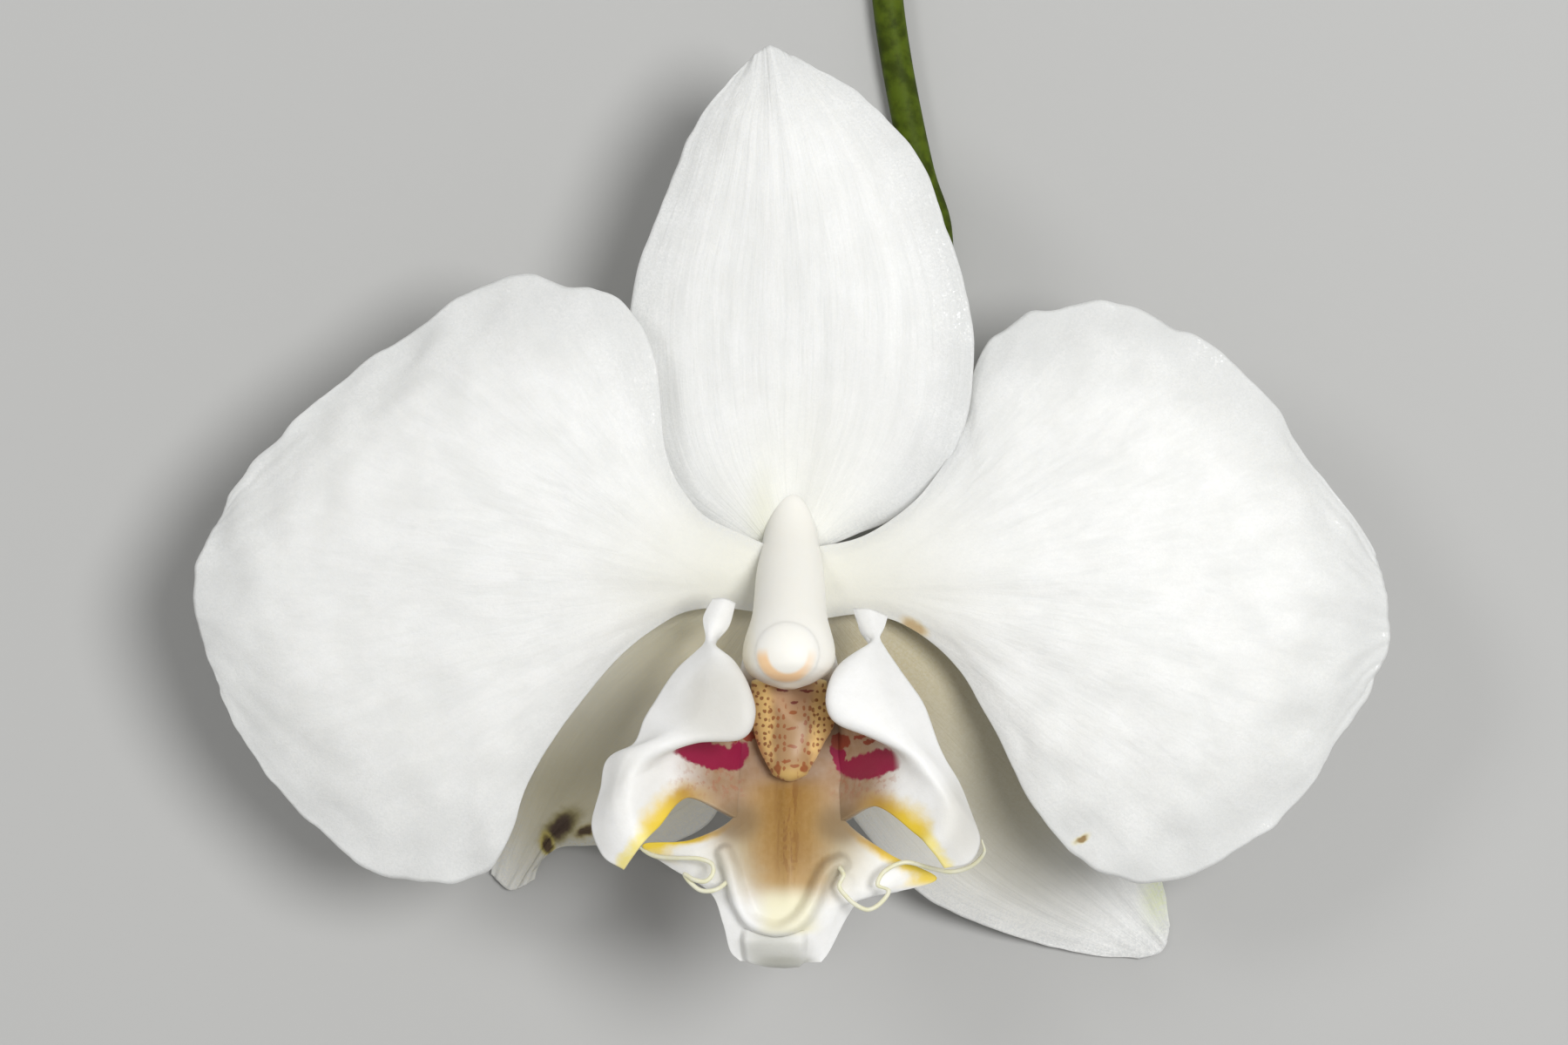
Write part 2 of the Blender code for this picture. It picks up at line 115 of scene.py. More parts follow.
def sheetPiece(name, lines, cells, thickness, relief, finish, node, fray=0.0):
    along, across = cells
    bm = bmesh.new()
    bmesh.ops.create_grid(bm, x_segments=along, y_segments=across, size=1.0)
    share = {vert: ((vert.co.x + 1) / 2, (vert.co.y + 1) / 2) for vert in bm.verts}
    rows = {}
    for vert, (u, v) in share.items():
        key = round(u * along)
        if key not in rows:
            rows[key] = [smoothPoint(one, u) for one in lines]
        vert.co = smoothPoint(rows[key], v)
        if fray:
            outward = (vert.co - smoothPoint(rows[min(key, round(along * 0.7))], 0.5)).normalized()
            edge = fade(1 - min(min(v, 1 - v) * 2, (1 - u) * 1.6), 0.6, 1.0) * fade(u, 0.2, 0.5)
            uneven = noise.noise(vert.co * 0.23) + 0.5 * noise.noise(vert.co * 0.6)
            vert.co += outward * (edge * fray * uneven)
    bm.normal_update()
    front = list(bm.verts)
    raised = {vert: vert.co + vert.normal * relief(*share[vert], vert.co) for vert in front}
    for vert, place in raised.items():
        vert.co = place
    bm.normal_update()
    copied = bmesh.ops.duplicate(bm, geom=bm.verts[:] + bm.edges[:] + bm.faces[:])
    backFaces = [item for item in copied["geom"] if isinstance(item, bmesh.types.BMFace)]
    for vert in front:
        half = vert.normal * (thickness(*share[vert]) / 2)
        back = copied["vert_map"][vert]
        share[back] = share[vert]
        back.co = vert.co - half
        vert.co = vert.co + half
    bmesh.ops.reverse_faces(bm, faces=backFaces)
    rim = [edge for edge in bm.edges if edge.is_boundary]
    bmesh.ops.bridge_loops(bm, edges=rim)
    finishPiece(name, bm, share, finish, node)


def tubePiece(name, path, radii, cells, finish, node, start=0.0, shape=None):
    along, around = cells
    centres = [Vector(point) for point in path]
    bm = bmesh.new()
    bmesh.ops.create_grid(bm, x_segments=along, y_segments=around, size=1.0)
    share = {vert: ((vert.co.x + 1) / 2, (vert.co.y + 1) / 2) for vert in bm.verts}
    for vert, (u, v) in share.items():
        u = start + (1 - start) * u
        centre = smoothPoint(centres, u)
        ahead = smoothPoint(centres, min(u + 0.06, 1.0)) - smoothPoint(centres, max(u - 0.06, 0.0))
        side = ahead.cross(Vector((0.3, 0.1, 1.0))).normalized()
        up = side.cross(ahead).normalized()
        turn = 2 * math.pi * v
        radius = max(smoothPoint(radii, u), 0.0)
        vert.co = centre + side * (radius * math.cos(turn)) + up * (radius * math.sin(turn))
        if shape:
            vert.co = shape(vert.co.copy())
    bmesh.ops.remove_doubles(bm, verts=bm.verts, dist=1e-5)
    bmesh.ops.holes_fill(bm, edges=[edge for edge in bm.edges if edge.is_boundary], sides=0)
    bmesh.ops.recalc_face_normals(bm, faces=bm.faces)
    finishPiece(name, bm, share, finish, node)


class Wire:  # a shader socket that takes part in plain arithmetic
    def __init__(self, paint, socket):
        self.paint = paint
        self.socket = socket

    def join(self, operation, first, second):
        return self.paint.add("ShaderNodeMath", {"operation": operation}, [first, second])

    def __add__(self, other):
        return self.join("ADD", self, other)

    def __sub__(self, other):
        return self.join("SUBTRACT", self, other)

    def __rsub__(self, other):
        return self.join("SUBTRACT", other, self)

    def __mul__(self, other):
        return self.join("MULTIPLY", self, other)

    def __pow__(self, other):
        return self.join("POWER", self, other)

    __radd__ = __add__
    __rmul__ = __mul__


class Paint:  # one material: its shader, the nodes it adds and what they feed
    def __init__(self, name, fixed):
        self.material = bpy.data.materials.new(name)
        self.material.use_nodes = True
        self.tree = self.material.node_tree
        self.shader = self.tree.nodes["Principled BSDF"]
        for socket, value in fixed.items():
            self.shader.inputs[socket].default_value = value

    def add(self, kind, settings, inputs, output=0):
        node = self.tree.nodes.new(kind)
        for setting, value in settings.items():
            setattr(node, setting, value)
        named = inputs.items() if isinstance(inputs, dict) else enumerate(inputs)
        for socket, value in named:
            if isinstance(value, Wire):
                self.tree.links.new(value.socket, node.inputs[socket])
            else:
                node.inputs[socket].default_value = value
        return Wire(self, node.outputs[output])

    def feed(self, socket, wire):
        self.tree.links.new(wire.socket, self.shader.inputs[socket])

    def place(self):  # millimetres from the heart
        inFrame = self.add("ShaderNodeTexCoord", {}, {}, "Object")
        settings = {"vector_type": "POINT"}
        return self.add("ShaderNodeMapping", settings, [inFrame, -heart, (0, 0, 0), (1000, 1000, 1000)])

    def uv(self, scaleAlong, scaleAcross, shift):
        onSheet = self.add("ShaderNodeTexCoord", {}, {}, "UV")
        size = (scaleAlong, scaleAcross, 1.0)
        return self.add("ShaderNodeMapping", {}, [onSheet, (shift, shift, shift), (0, 0, 0), size])

    def shares(self):  # the share of the way along the sheet and across it
        onSheet = self.uv(1.0, 1.0, 0.0)
        return self.part(onSheet, "X"), self.part(onSheet, "Y")

    def part(self, vector, axis):
        return self.add("ShaderNodeSeparateXYZ", {}, [vector], axis)

    def noise(self, vector, scale, detail, distortion=0.0):
        inputs = {"Vector": vector, "Scale": scale, "Detail": detail, "Distortion": distortion}
        return self.add("ShaderNodeTexNoise", {}, inputs, "Fac")

    def stretched(self, vector, size):
        return self.add("ShaderNodeMapping", {}, [vector, (0, 0, 0), (0, 0, 0), size])

    def fan(self, vector, pole, side, spokes, rings):
        x = self.part(vector, "X") - pole[0]
        y = self.part(vector, "Y") - pole[1]
        turn = self.add("ShaderNodeMath", {"operation": "ARCTAN2"}, [y, x * side])
        away = (x * x + y * y) ** 0.5
        return self.add("ShaderNodeCombineXYZ", {}, [away * rings, turn * spokes, pole[0]])

    def cells(self, vector, perMm):  # a tone of its own for each of the tiny cells of the skin
        skin = self.add("ShaderNodeTexVoronoi", {}, {"Vector": vector, "Scale": perMm}, "Color")
        return self.part(skin, "X")

    def dots(self, vector, perMm, radius):  # evenly strewn dots, seen from above
        settings = {"voronoi_dimensions": "2D", "feature": "F1"}
        inputs = {"Vector": vector, "Scale": perMm, "Randomness": 0.75}
        away = self.add("ShaderNodeTexVoronoi", settings, inputs, "Distance")
        return self.soft(away, radius * perMm * 1.25, radius * perMm * 0.85)

    def size(self, value):
        return self.add("ShaderNodeMath", {"operation": "ABSOLUTE"}, [value])

    def ragged(self, vector, scale, size):  # the place pushed a little, so that edges turn ragged
        push = self.add("ShaderNodeTexNoise", {}, {"Vector": vector, "Scale": scale}, "Color")
        push = self.add("ShaderNodeVectorMath", {"operation": "SUBTRACT"}, [push, (0.5, 0.5, 0.5)])
        push = self.add("ShaderNodeVectorMath", {"operation": "SCALE"}, {0: push, "Scale": size * 2})
        return self.add("ShaderNodeVectorMath", {"operation": "ADD"}, [vector, push])

    def soft(self, value, low, high):  # 0 at low, 1 at high
        settings = {"interpolation_type": "SMOOTHSTEP"}
        return self.add("ShaderNodeMapRange", settings, {"Value": value, "From Min": low, "From Max": high})

    def mix(self, share, first, second):
        inputs = {0: share, 6: self.colour(first), 7: self.colour(second)}
        return self.add("ShaderNodeMix", {"data_type": "RGBA"}, inputs, 2)

    def colour(self, value):
        return value if isinstance(value, Wire) else (*value, 1.0)

    def oval(self, vector, centre, halfSize, turn, edge):  # 1 inside, 0 outside, at any height
        settings = {"vector_type": "TEXTURE"}
        inputs = [vector, (*centre, 0.0), (0, 0, turn), (*halfSize, 10000.0)]
        inOval = self.add("ShaderNodeMapping", settings, inputs)
        away = self.add("ShaderNodeVectorMath", {"operation": "LENGTH"}, [inOval], "Value")
        return self.soft(away, 1.0 + edge, 1.0 - edge)

    def bump(self, height, strength, distance):
        inputs = {"Strength": strength, "Distance": distance, "Height": height}
        return self.add("ShaderNodeBump", {}, inputs)


# Petals and sepals

flesh = {
    "Roughness": 0.5,
    "Subsurface Weight": 0.35,
    "Subsurface Radius": (1.0, 0.95, 0.85),
    "Subsurface Scale": 0.0014,
    "Specular IOR Level": 0.35,
    "Sheen Weight": 0.08,
}

tepalLook = {
    "mottle": (0.95, 0.95, 0.945),  # how much darker the cloudy patches are
    "grey": (0.7, 0.71, 0.69),
    # painted shade along the margins, which curve away from the light
    "rim": (0.66, 0.665, 0.645),
    "veinShade": 0.26,
    "fineVeinShade": 0.14,
    "grain": (0.17, 0.55),  # in the middle, and what the margin adds
    "glitter": (0.1, 0.25),
    "clawHalfSize": (10.0, 8.0),
    "cellsPerMm": 6.5,
    "bumpDistance": 0.0001,
    "middleThickness": 0.6,
    "marginThickness": 0.22,
    "broadFan": (9.0, 0.16),  # spokes for each radian, rings for each millimetre
    "fineFan": (34.0, 0.3),
    "broadSheet": (2.5, 20.0),  # along the sheet and across it
    "fineSheet": (9.0, 75.0),
    "foldScale": (0.06, 3.2),
    "crinkleScale": (0.13, 10.0),
    "swell": 0.4,
    "swellScale": 0.07,
    "waveScale": 0.26,
    "ripple": 0.22,
    "rippleScale": 16.0,
}


def veinMaps(paint, place, settings):  # petals fan out from the claw, sepals keep their veins side by side
    if "pole" in settings:
        pole, side = settings["pole"], settings["side"]
        return [paint.fan(place, pole, side, *tepalLook[kind]) for kind in ("broadFan", "fineFan")]
    return [paint.uv(*tepalLook[kind], settings["seed"]) for kind in ("broadSheet", "fineSheet")]


def tepalPaint(name, settings):
    paint = Paint(name, flesh)
    place = paint.place()
    broad, narrow = veinMaps(paint, place, settings)
    cloudy = paint.noise(place, 0.3, 4.0)
    veins = paint.noise(broad, 1.0, 4.0, 0.6)
    fines = paint.noise(narrow, 1.0, 2.0, 0.3)
    cells = paint.cells(place, tepalLook["cellsPerMm"])
    along, across = paint.shares()
    inner = 4.0 * across * (1.0 - across) * (1.0 - along ** 4.0)
    margin = paint.soft(inner, 0.65, 0.0)
    grain = tepalLook["grain"][0] + margin * tepalLook["grain"][1]
    glitter = tepalLook["glitter"][0] + margin * tepalLook["glitter"][1]
    white = settings["white"]
    dim = tuple(tone * less for tone, less in zip(white, tepalLook["mottle"]))
    colour = paint.mix(paint.soft(cloudy, 0.3, 0.65), dim, white)
    fineStreak = paint.soft(fines, 0.6, 0.3) * tepalLook["fineVeinShade"]
    streak = paint.soft(veins, 0.6, 0.35) * tepalLook["veinShade"] + fineStreak
    if "pole" in settings:  # the claw is smooth
        streak = streak * (1.0 - paint.oval(place, settings["pole"], tepalLook["clawHalfSize"], 0.0, 0.7))
    colour = paint.mix(streak, colour, tepalLook["grey"])
    # painted shade along the margin, where it curves away from the light
    colour = paint.mix(margin * settings["rimShade"], colour, tepalLook["rim"])
    # some ovals are painted shade where other parts shade the piece, others are the piece's own tint
    for centre, size, shade, share in settings["tintsAndShade"]:
        colour = paint.mix(paint.oval(place, centre, size, 0.0, 1.0) * share, colour, shade)
    colour = paint.mix((1.0 - cells) * grain, colour, tepalLook["grey"])
    for centre, size, turn, shade, rim in settings.get("spots", []):
        ragged = paint.ragged(place, 0.9, 0.4)
        halo = paint.oval(ragged, centre, (size[0] * 1.5, size[1] * 1.5), turn, 0.4)
        colour = paint.mix(halo, colour, rim)
        blotch = paint.oval(ragged, centre, size, turn, 0.45) * paint.soft(cloudy, 0.2, 0.32)
        colour = paint.mix(blotch, colour, shade)
    paint.feed("Base Color", colour)
    height = streak * -1.6 + cells * glitter + cloudy * 1.5
    paint.feed("Normal", paint.bump(height, 0.5, tepalLook["bumpDistance"]))
    paint.feed("Roughness", 0.58 - paint.soft(cells, 0.75, 1.0) * glitter)
    return paint.material


def tepalThickness(u, v):
    middle, margin = tepalLook["middleThickness"], tepalLook["marginThickness"]
    fromSide = min(v, 1 - v) * 2
    fromTip = (1 - u) * 2.5
    return margin + (middle - margin) * fade(min(fromSide, fromTip), 0.0, 0.5)


def tepalRelief(settings):  # soft folds fan out from the claw, and ripples cross the margin
    seed, folds, ruffle = settings["seed"], settings["folds"], settings["ruffle"]
    spine, crinkle = settings.get("spine", 0.0), settings.get("crinkle", 0.0)
    (foldRings, foldSpokes), (crinkleRings, crinkleSpokes) = tepalLook["foldScale"], tepalLook["crinkleScale"]
    swellScale, waveScale, rippleScale = (tepalLook[kind + "Scale"] for kind in ("swell", "wave", "ripple"))

    def relief(u, v, place):
        edge = 1 - min(min(v, 1 - v) * 2, (1 - u) * 1.6, 1.0)
        turn, away = v * 2.2, u * 15.0
        if "pole" in settings:
            x, y = place.x - settings["pole"][0], place.y - settings["pole"][1]
            turn, away = math.atan2(y, x * settings["side"]), math.hypot(x, y)
        fan = noise.noise(Vector((away * foldRings, turn * foldSpokes, seed)))
        crinkles = noise.noise(Vector((away * crinkleRings, turn * crinkleSpokes, seed + 9)))
        swell = noise.noise(Vector((place.x * swellScale, place.y * swellScale, seed + 7)))
        wave = noise.noise(Vector((place.x * waveScale, place.y * waveScale, seed + 3)))
        ripple = noise.noise(Vector((u * rippleScale, v * rippleScale, seed + 5)))
        atEdge = ruffle * edge**2 * wave + tepalLook["ripple"] * ruffle * edge * ripple
        inMiddle = folds * fan + crinkle * crinkles + tepalLook["swell"] * swell
        rise = fade(u, 0.08, 0.4) * (inMiddle + atEdge)
        for fromV, toV, fromU, toU, amount in settings.get("rolls", []):
            window = fade(u, fromU, fromU + 0.1) * fade(u, toU, toU - 0.1)
            rise += amount * window * fade(v, fromV, toV) ** 2
        if spine:
            rise += spine * math.exp(-(((v - 0.52) / 0.12) ** 2)) * fade(u, 0.3, 0.0)
        return rise
    return relief


sepalDorsal = {
    "left": [(-1.9, 1.4), (-6.0, 3.2), (-10.2, 5.6), (-12.6, 9.8), (-13.4, 15.0), (-13.5, 20.2),
             (-12.8, 24.3), (-11.0, 29.4), (-9.0, 34.5), (-7.3, 37.7), (-5.2, 40.4), (-3.4, 42.2)],
    "right": [(2.2, 1.2), (5.8, 2.7), (9.2, 4.3), (12.7, 7.6), (14.8, 12.0), (15.4, 16.0), (15.4, 20.0),
              (14.4, 25.0), (12.5, 30.5), (11.0, 33.9), (8.8, 36.7), (6.0, 39.6), (3.2, 41.4),
              (0.7, 42.6)],
    "midrib": [(0.2, 1.2), (0.9, 17.0), (0.6, 30.0), (-1.6, 43.6)],
    "leftHeight": [-0.9, -1.4, -1.6, -1.4, -1.2, -1.0],
    "rightHeight": [-0.9, -1.2, 0.9, 0.9, 0.2, -0.6],
    "midribHeight": [-0.8, -0.4, 0.8, 1.2, 0.9, -0.4],
    "cells": (150, 100), "seed": 2.0, "folds": 0.16, "ruffle": 0.35, "fray": 0.3, "crinkle": 0.04,
    "rolls": [(0.72, 1.0, 0.08, 0.34, -1.3)],
    "spine": 1.0, "white": (0.9, 0.9, 0.875), "rimShade": 0.3,
    # the first oval is a green tinge with painted shade in the crease beside the base ridge
    "tintsAndShade": [((-2.0, 3.4), (1.1, 3.6), (0.6, 0.6, 0.4), 0.55),
              ((0.8, 2.0), (5.0, 9.0), (0.86, 0.85, 0.74), 0.5)],
}
petalLeft = {
    "left": [(-1.4, 1.6), (-4.2, 2.8), (-6.9, 4.1), (-8.5, 5.8), (-9.7, 7.9), (-10.4, 10.6),
             (-10.7, 14.4), (-11.3, 17.8), (-12.4, 20.2), (-14.3, 22.4), (-16.2, 23.2), (-18.2, 23.4),
             (-20.3, 24.2), (-21.8, 24.5), (-23.8, 24.1), (-27.1, 22.8), (-30.6, 20.3), (-35.2, 17.4),
             (-39.4, 13.9), (-44.0, 9.6), (-46.9, 5.8)],
    "right": [(-1.6, -4.0), (-5.4, -3.5), (-8.6, -3.8), (-11.2, -5.2), (-14.0, -7.4), (-16.6, -10.4),
              (-18.9, -13.4), (-21.0, -16.6), (-22.3, -19.4), (-23.1, -22.2), (-24.2, -24.5),
              (-25.6, -25.8), (-28.8, -26.4), (-32.0, -26.5), (-34.2, -26.1), (-37.3, -24.1),
              (-41.4, -20.4), (-44.7, -16.0), (-46.4, -13.2), (-47.4, -10.5)],
    "midrib": [(-1.4, -1.0), (-17.0, 1.5), (-34.0, 1.0), (-49.7, -1.6)],
    "leftHeight": [1.0, 1.4, 1.8, 1.6, 0.8, -0.2, -0.8, -1.2],
    "rightHeight": [1.0, 1.3, 1.2, 0.6, -0.2, -1.0, -1.6, -1.4],
    "midribHeight": [1.1, 2.2, 3.2, 3.7, 3.6, 2.8, 1.4, -0.6],
    "cells": (180, 140), "seed": 11.0, "folds": 0.25, "ruffle": 0.5, "fray": 0.4, "crinkle": 0.09,
    # white is a little darker than the right petal's: painted shade for the weaker light on this side
    "pole": (-6.0, -1.5), "side": -1, "white": (0.87, 0.87, 0.845), "rimShade": 0.42,
    "tintsAndShade": [((-3.0, -1.0), (9.0, 7.0), (0.74, 0.73, 0.64), 0.9)],
}
petalRight = {
    "left": [(1.8, -4.6), (5.8, -4.0), (8.5, -4.4), (10.6, -5.4), (12.6, -6.9), (14.4, -8.9),
             (16.0, -11.5), (17.6, -14.4), (19.0, -17.2), (20.7, -20.4), (22.3, -22.5), (24.1, -24.2),
             (26.5, -25.8), (29.3, -26.6), (31.5, -26.6), (33.8, -26.1), (36.4, -24.9), (40.2, -22.1),
             (42.7, -19.9), (44.6, -17.7), (46.2, -14.7), (49.1, -10.2)],
    "right": [(1.6, 1.5), (5.4, 2.2), (7.9, 3.4), (10.4, 5.3), (12.2, 7.4), (13.8, 9.9), (15.0, 12.5),
              (15.6, 16.2), (16.8, 18.8), (18.8, 20.1), (20.2, 21.1), (22.2, 21.5), (25.3, 22.3),
              (27.3, 22.2), (29.3, 21.7), (32.3, 20.1), (35.2, 18.7), (37.9, 16.4), (40.7, 13.5),
              (43.0, 9.8), (46.4, 5.5), (49.4, 1.0)],
    "midrib": [(1.6, -1.2), (18.0, 0.3), (34.0, -1.2), (50.5, -4.8)],
    "leftHeight": [1.0, 1.3, 1.2, 0.6, -0.2, -1.0, -1.6, -1.4],
    "rightHeight": [1.0, 1.4, -0.3, -0.8, -0.2, 0.2, -0.6, -1.2],
    "midribHeight": [1.1, 2.2, 3.2, 3.7, 3.6, 2.8, 1.4, -0.6],
    "cells": (180, 140), "seed": 23.0, "folds": 0.3, "ruffle": 0.6, "fray": 0.4, "crinkle": 0.1,
    # white is a little lighter than the left petal's: painted light for the stronger light on this side
    "pole": (6.0, -1.8), "side": 1, "white": (0.91, 0.91, 0.88), "rimShade": 0.55,
    "tintsAndShade": [((3.0, -1.0), (9.0, 7.0), (0.76, 0.75, 0.66), 0.9)],
    "spots": [((10.6, -5.15), (0.9, 0.4), -0.65, (0.55, 0.4, 0.22), (0.72, 0.62, 0.44)),
              ((24.6, -22.9), (0.55, 0.25), 0.5, (0.3, 0.2, 0.08), (0.75, 0.7, 0.5))],
}
sepalLeft = {
    "left": [(-2.7, -1.1), (-9.0, -2.0), (-15.0, -5.0), (-20.0, -9.6), (-23.0, -14.6), (-24.6, -19.4),
             (-25.3, -23.6), (-25.9, -27.0)],
    "right": [(-0.4, -2.6), (-2.2, -7.2), (-3.4, -12.0), (-4.6, -17.0), (-6.4, -21.4), (-9.8, -23.8),
              (-13.6, -24.5), (-17.2, -24.2), (-19.4, -24.3), (-20.9, -25.1), (-21.7, -26.2),
              (-22.1, -27.5)],
    "midrib": [(-1.6, -1.9), (-11.0, -12.0), (-19.0, -20.5), (-24.3, -28.5)],
    "leftHeight": [-1.4, -2.0, -3.6, -6.2, -9.4, -12.8, -15.8, -17.5, -17.6],
    "rightHeight": [-1.4, -2.8, -5.2, -8.4, -11.4, -14.0, -16.2, -17.5, -17.6],
    "midribHeight": [-1.4, -1.6, -2.8, -5.0, -8.2, -12.0, -15.6, -17.5, -17.6],
    "cells": (130, 90), "seed": 31.0, "folds": 0.2, "ruffle": 0.2, "fray": 0.2,
    "white": (0.9, 0.89, 0.84), "rimShade": 0.1,
    # olive tone near the heart, with painted shade where the petal and the lip shade this sepal
    "tintsAndShade": [((-7.0, -8.0), (10.0, 11.0), (0.8, 0.72, 0.48), 0.8),
              ((-19.0, -20.0), (8.0, 7.0), (0.66, 0.58, 0.34), 0.75)],
    "spots": [((-19.7, -22.7), (1.5, 0.75), 0.75, (0.085, 0.05, 0.03), (0.4, 0.34, 0.14)),
              ((-20.9, -24.3), (0.45, 0.8), 0.2, (0.1, 0.06, 0.03), (0.62, 0.52, 0.14)),
              ((-17.5, -23.0), (0.85, 0.4), 0.5, (0.09, 0.05, 0.02), (0.5, 0.42, 0.2))],
}
sepalRight = {
    "left": [(0.8, -2.6), (2.6, -9.0), (3.8, -15.5), (5.4, -21.2), (10.8, -27.7), (17.2, -31.4),
             (25.0, -33.7), (30.6, -34.3)],
    "right": [(3.1, -1.1), (10.5, -3.4), (18.1, -8.2), (24.0, -13.6), (28.0, -18.6), (31.0, -23.4),
              (32.6, -28.2), (33.2, -31.4)],
    "midrib": [(2.0, -1.9), (13.5, -14.0), (24.0, -24.5), (32.6, -33.6)],
    "leftHeight": [-1.4, -2.8, -5.2, -8.2, -11.2, -13.8, -16.0, -17.5, -17.6],
    "rightHeight": [-1.4, -2.0, -3.6, -6.2, -9.2, -12.6, -15.6, -17.5, -17.6],
    "midribHeight": [-1.4, -1.6, -2.8, -5.0, -8.0, -11.8, -15.4, -17.5, -17.6],
    "cells": (130, 90), "seed": 43.0, "folds": 0.2, "ruffle": 0.2, "fray": 0.2,
    # white is lighter than the other sepals': painted light on its lit lower part
    "white": (0.97, 0.965, 0.93), "rimShade": 0.0,
    # the first two ovals are olive tone with painted shade beside the petal's margin
    "tintsAndShade": [((9.0, -8.0), (13.0, 13.0), (0.46, 0.4, 0.24), 0.95),
              ((20.0, -18.0), (6.5, 9.0), (0.48, 0.44, 0.3), 0.8),
              ((32.2, -28.6), (1.2, 2.4), (0.6, 0.66, 0.3), 0.7)],
}


def buildTepal(name, node, settings):
    left = lineOf(settings["left"], settings["leftHeight"])
    right = lineOf(settings["right"], settings["rightHeight"])
    midrib = lineOf([tuple(point) for point in spread(settings["midrib"], 12)], settings["midribHeight"])
    finish = tepalPaint(name + "Paint", settings), "petal_white"
    sheetPiece(name, [left, midrib, right], settings["cells"], tepalThickness, tepalRelief(settings),
               finish, node, fray=settings["fray"])


buildTepal("dorsalSepal", "sepal_dorsal", sepalDorsal)
buildTepal("leftPetal", "petal_left", petalLeft)
buildTepal("rightPetal", "petal_right", petalRight)
buildTepal("leftSepal", "sepal_lateral_left", sepalLeft)
buildTepal("rightSepal", "sepal_lateral_right", sepalRight)
print("sepals and petals made")


# Lip

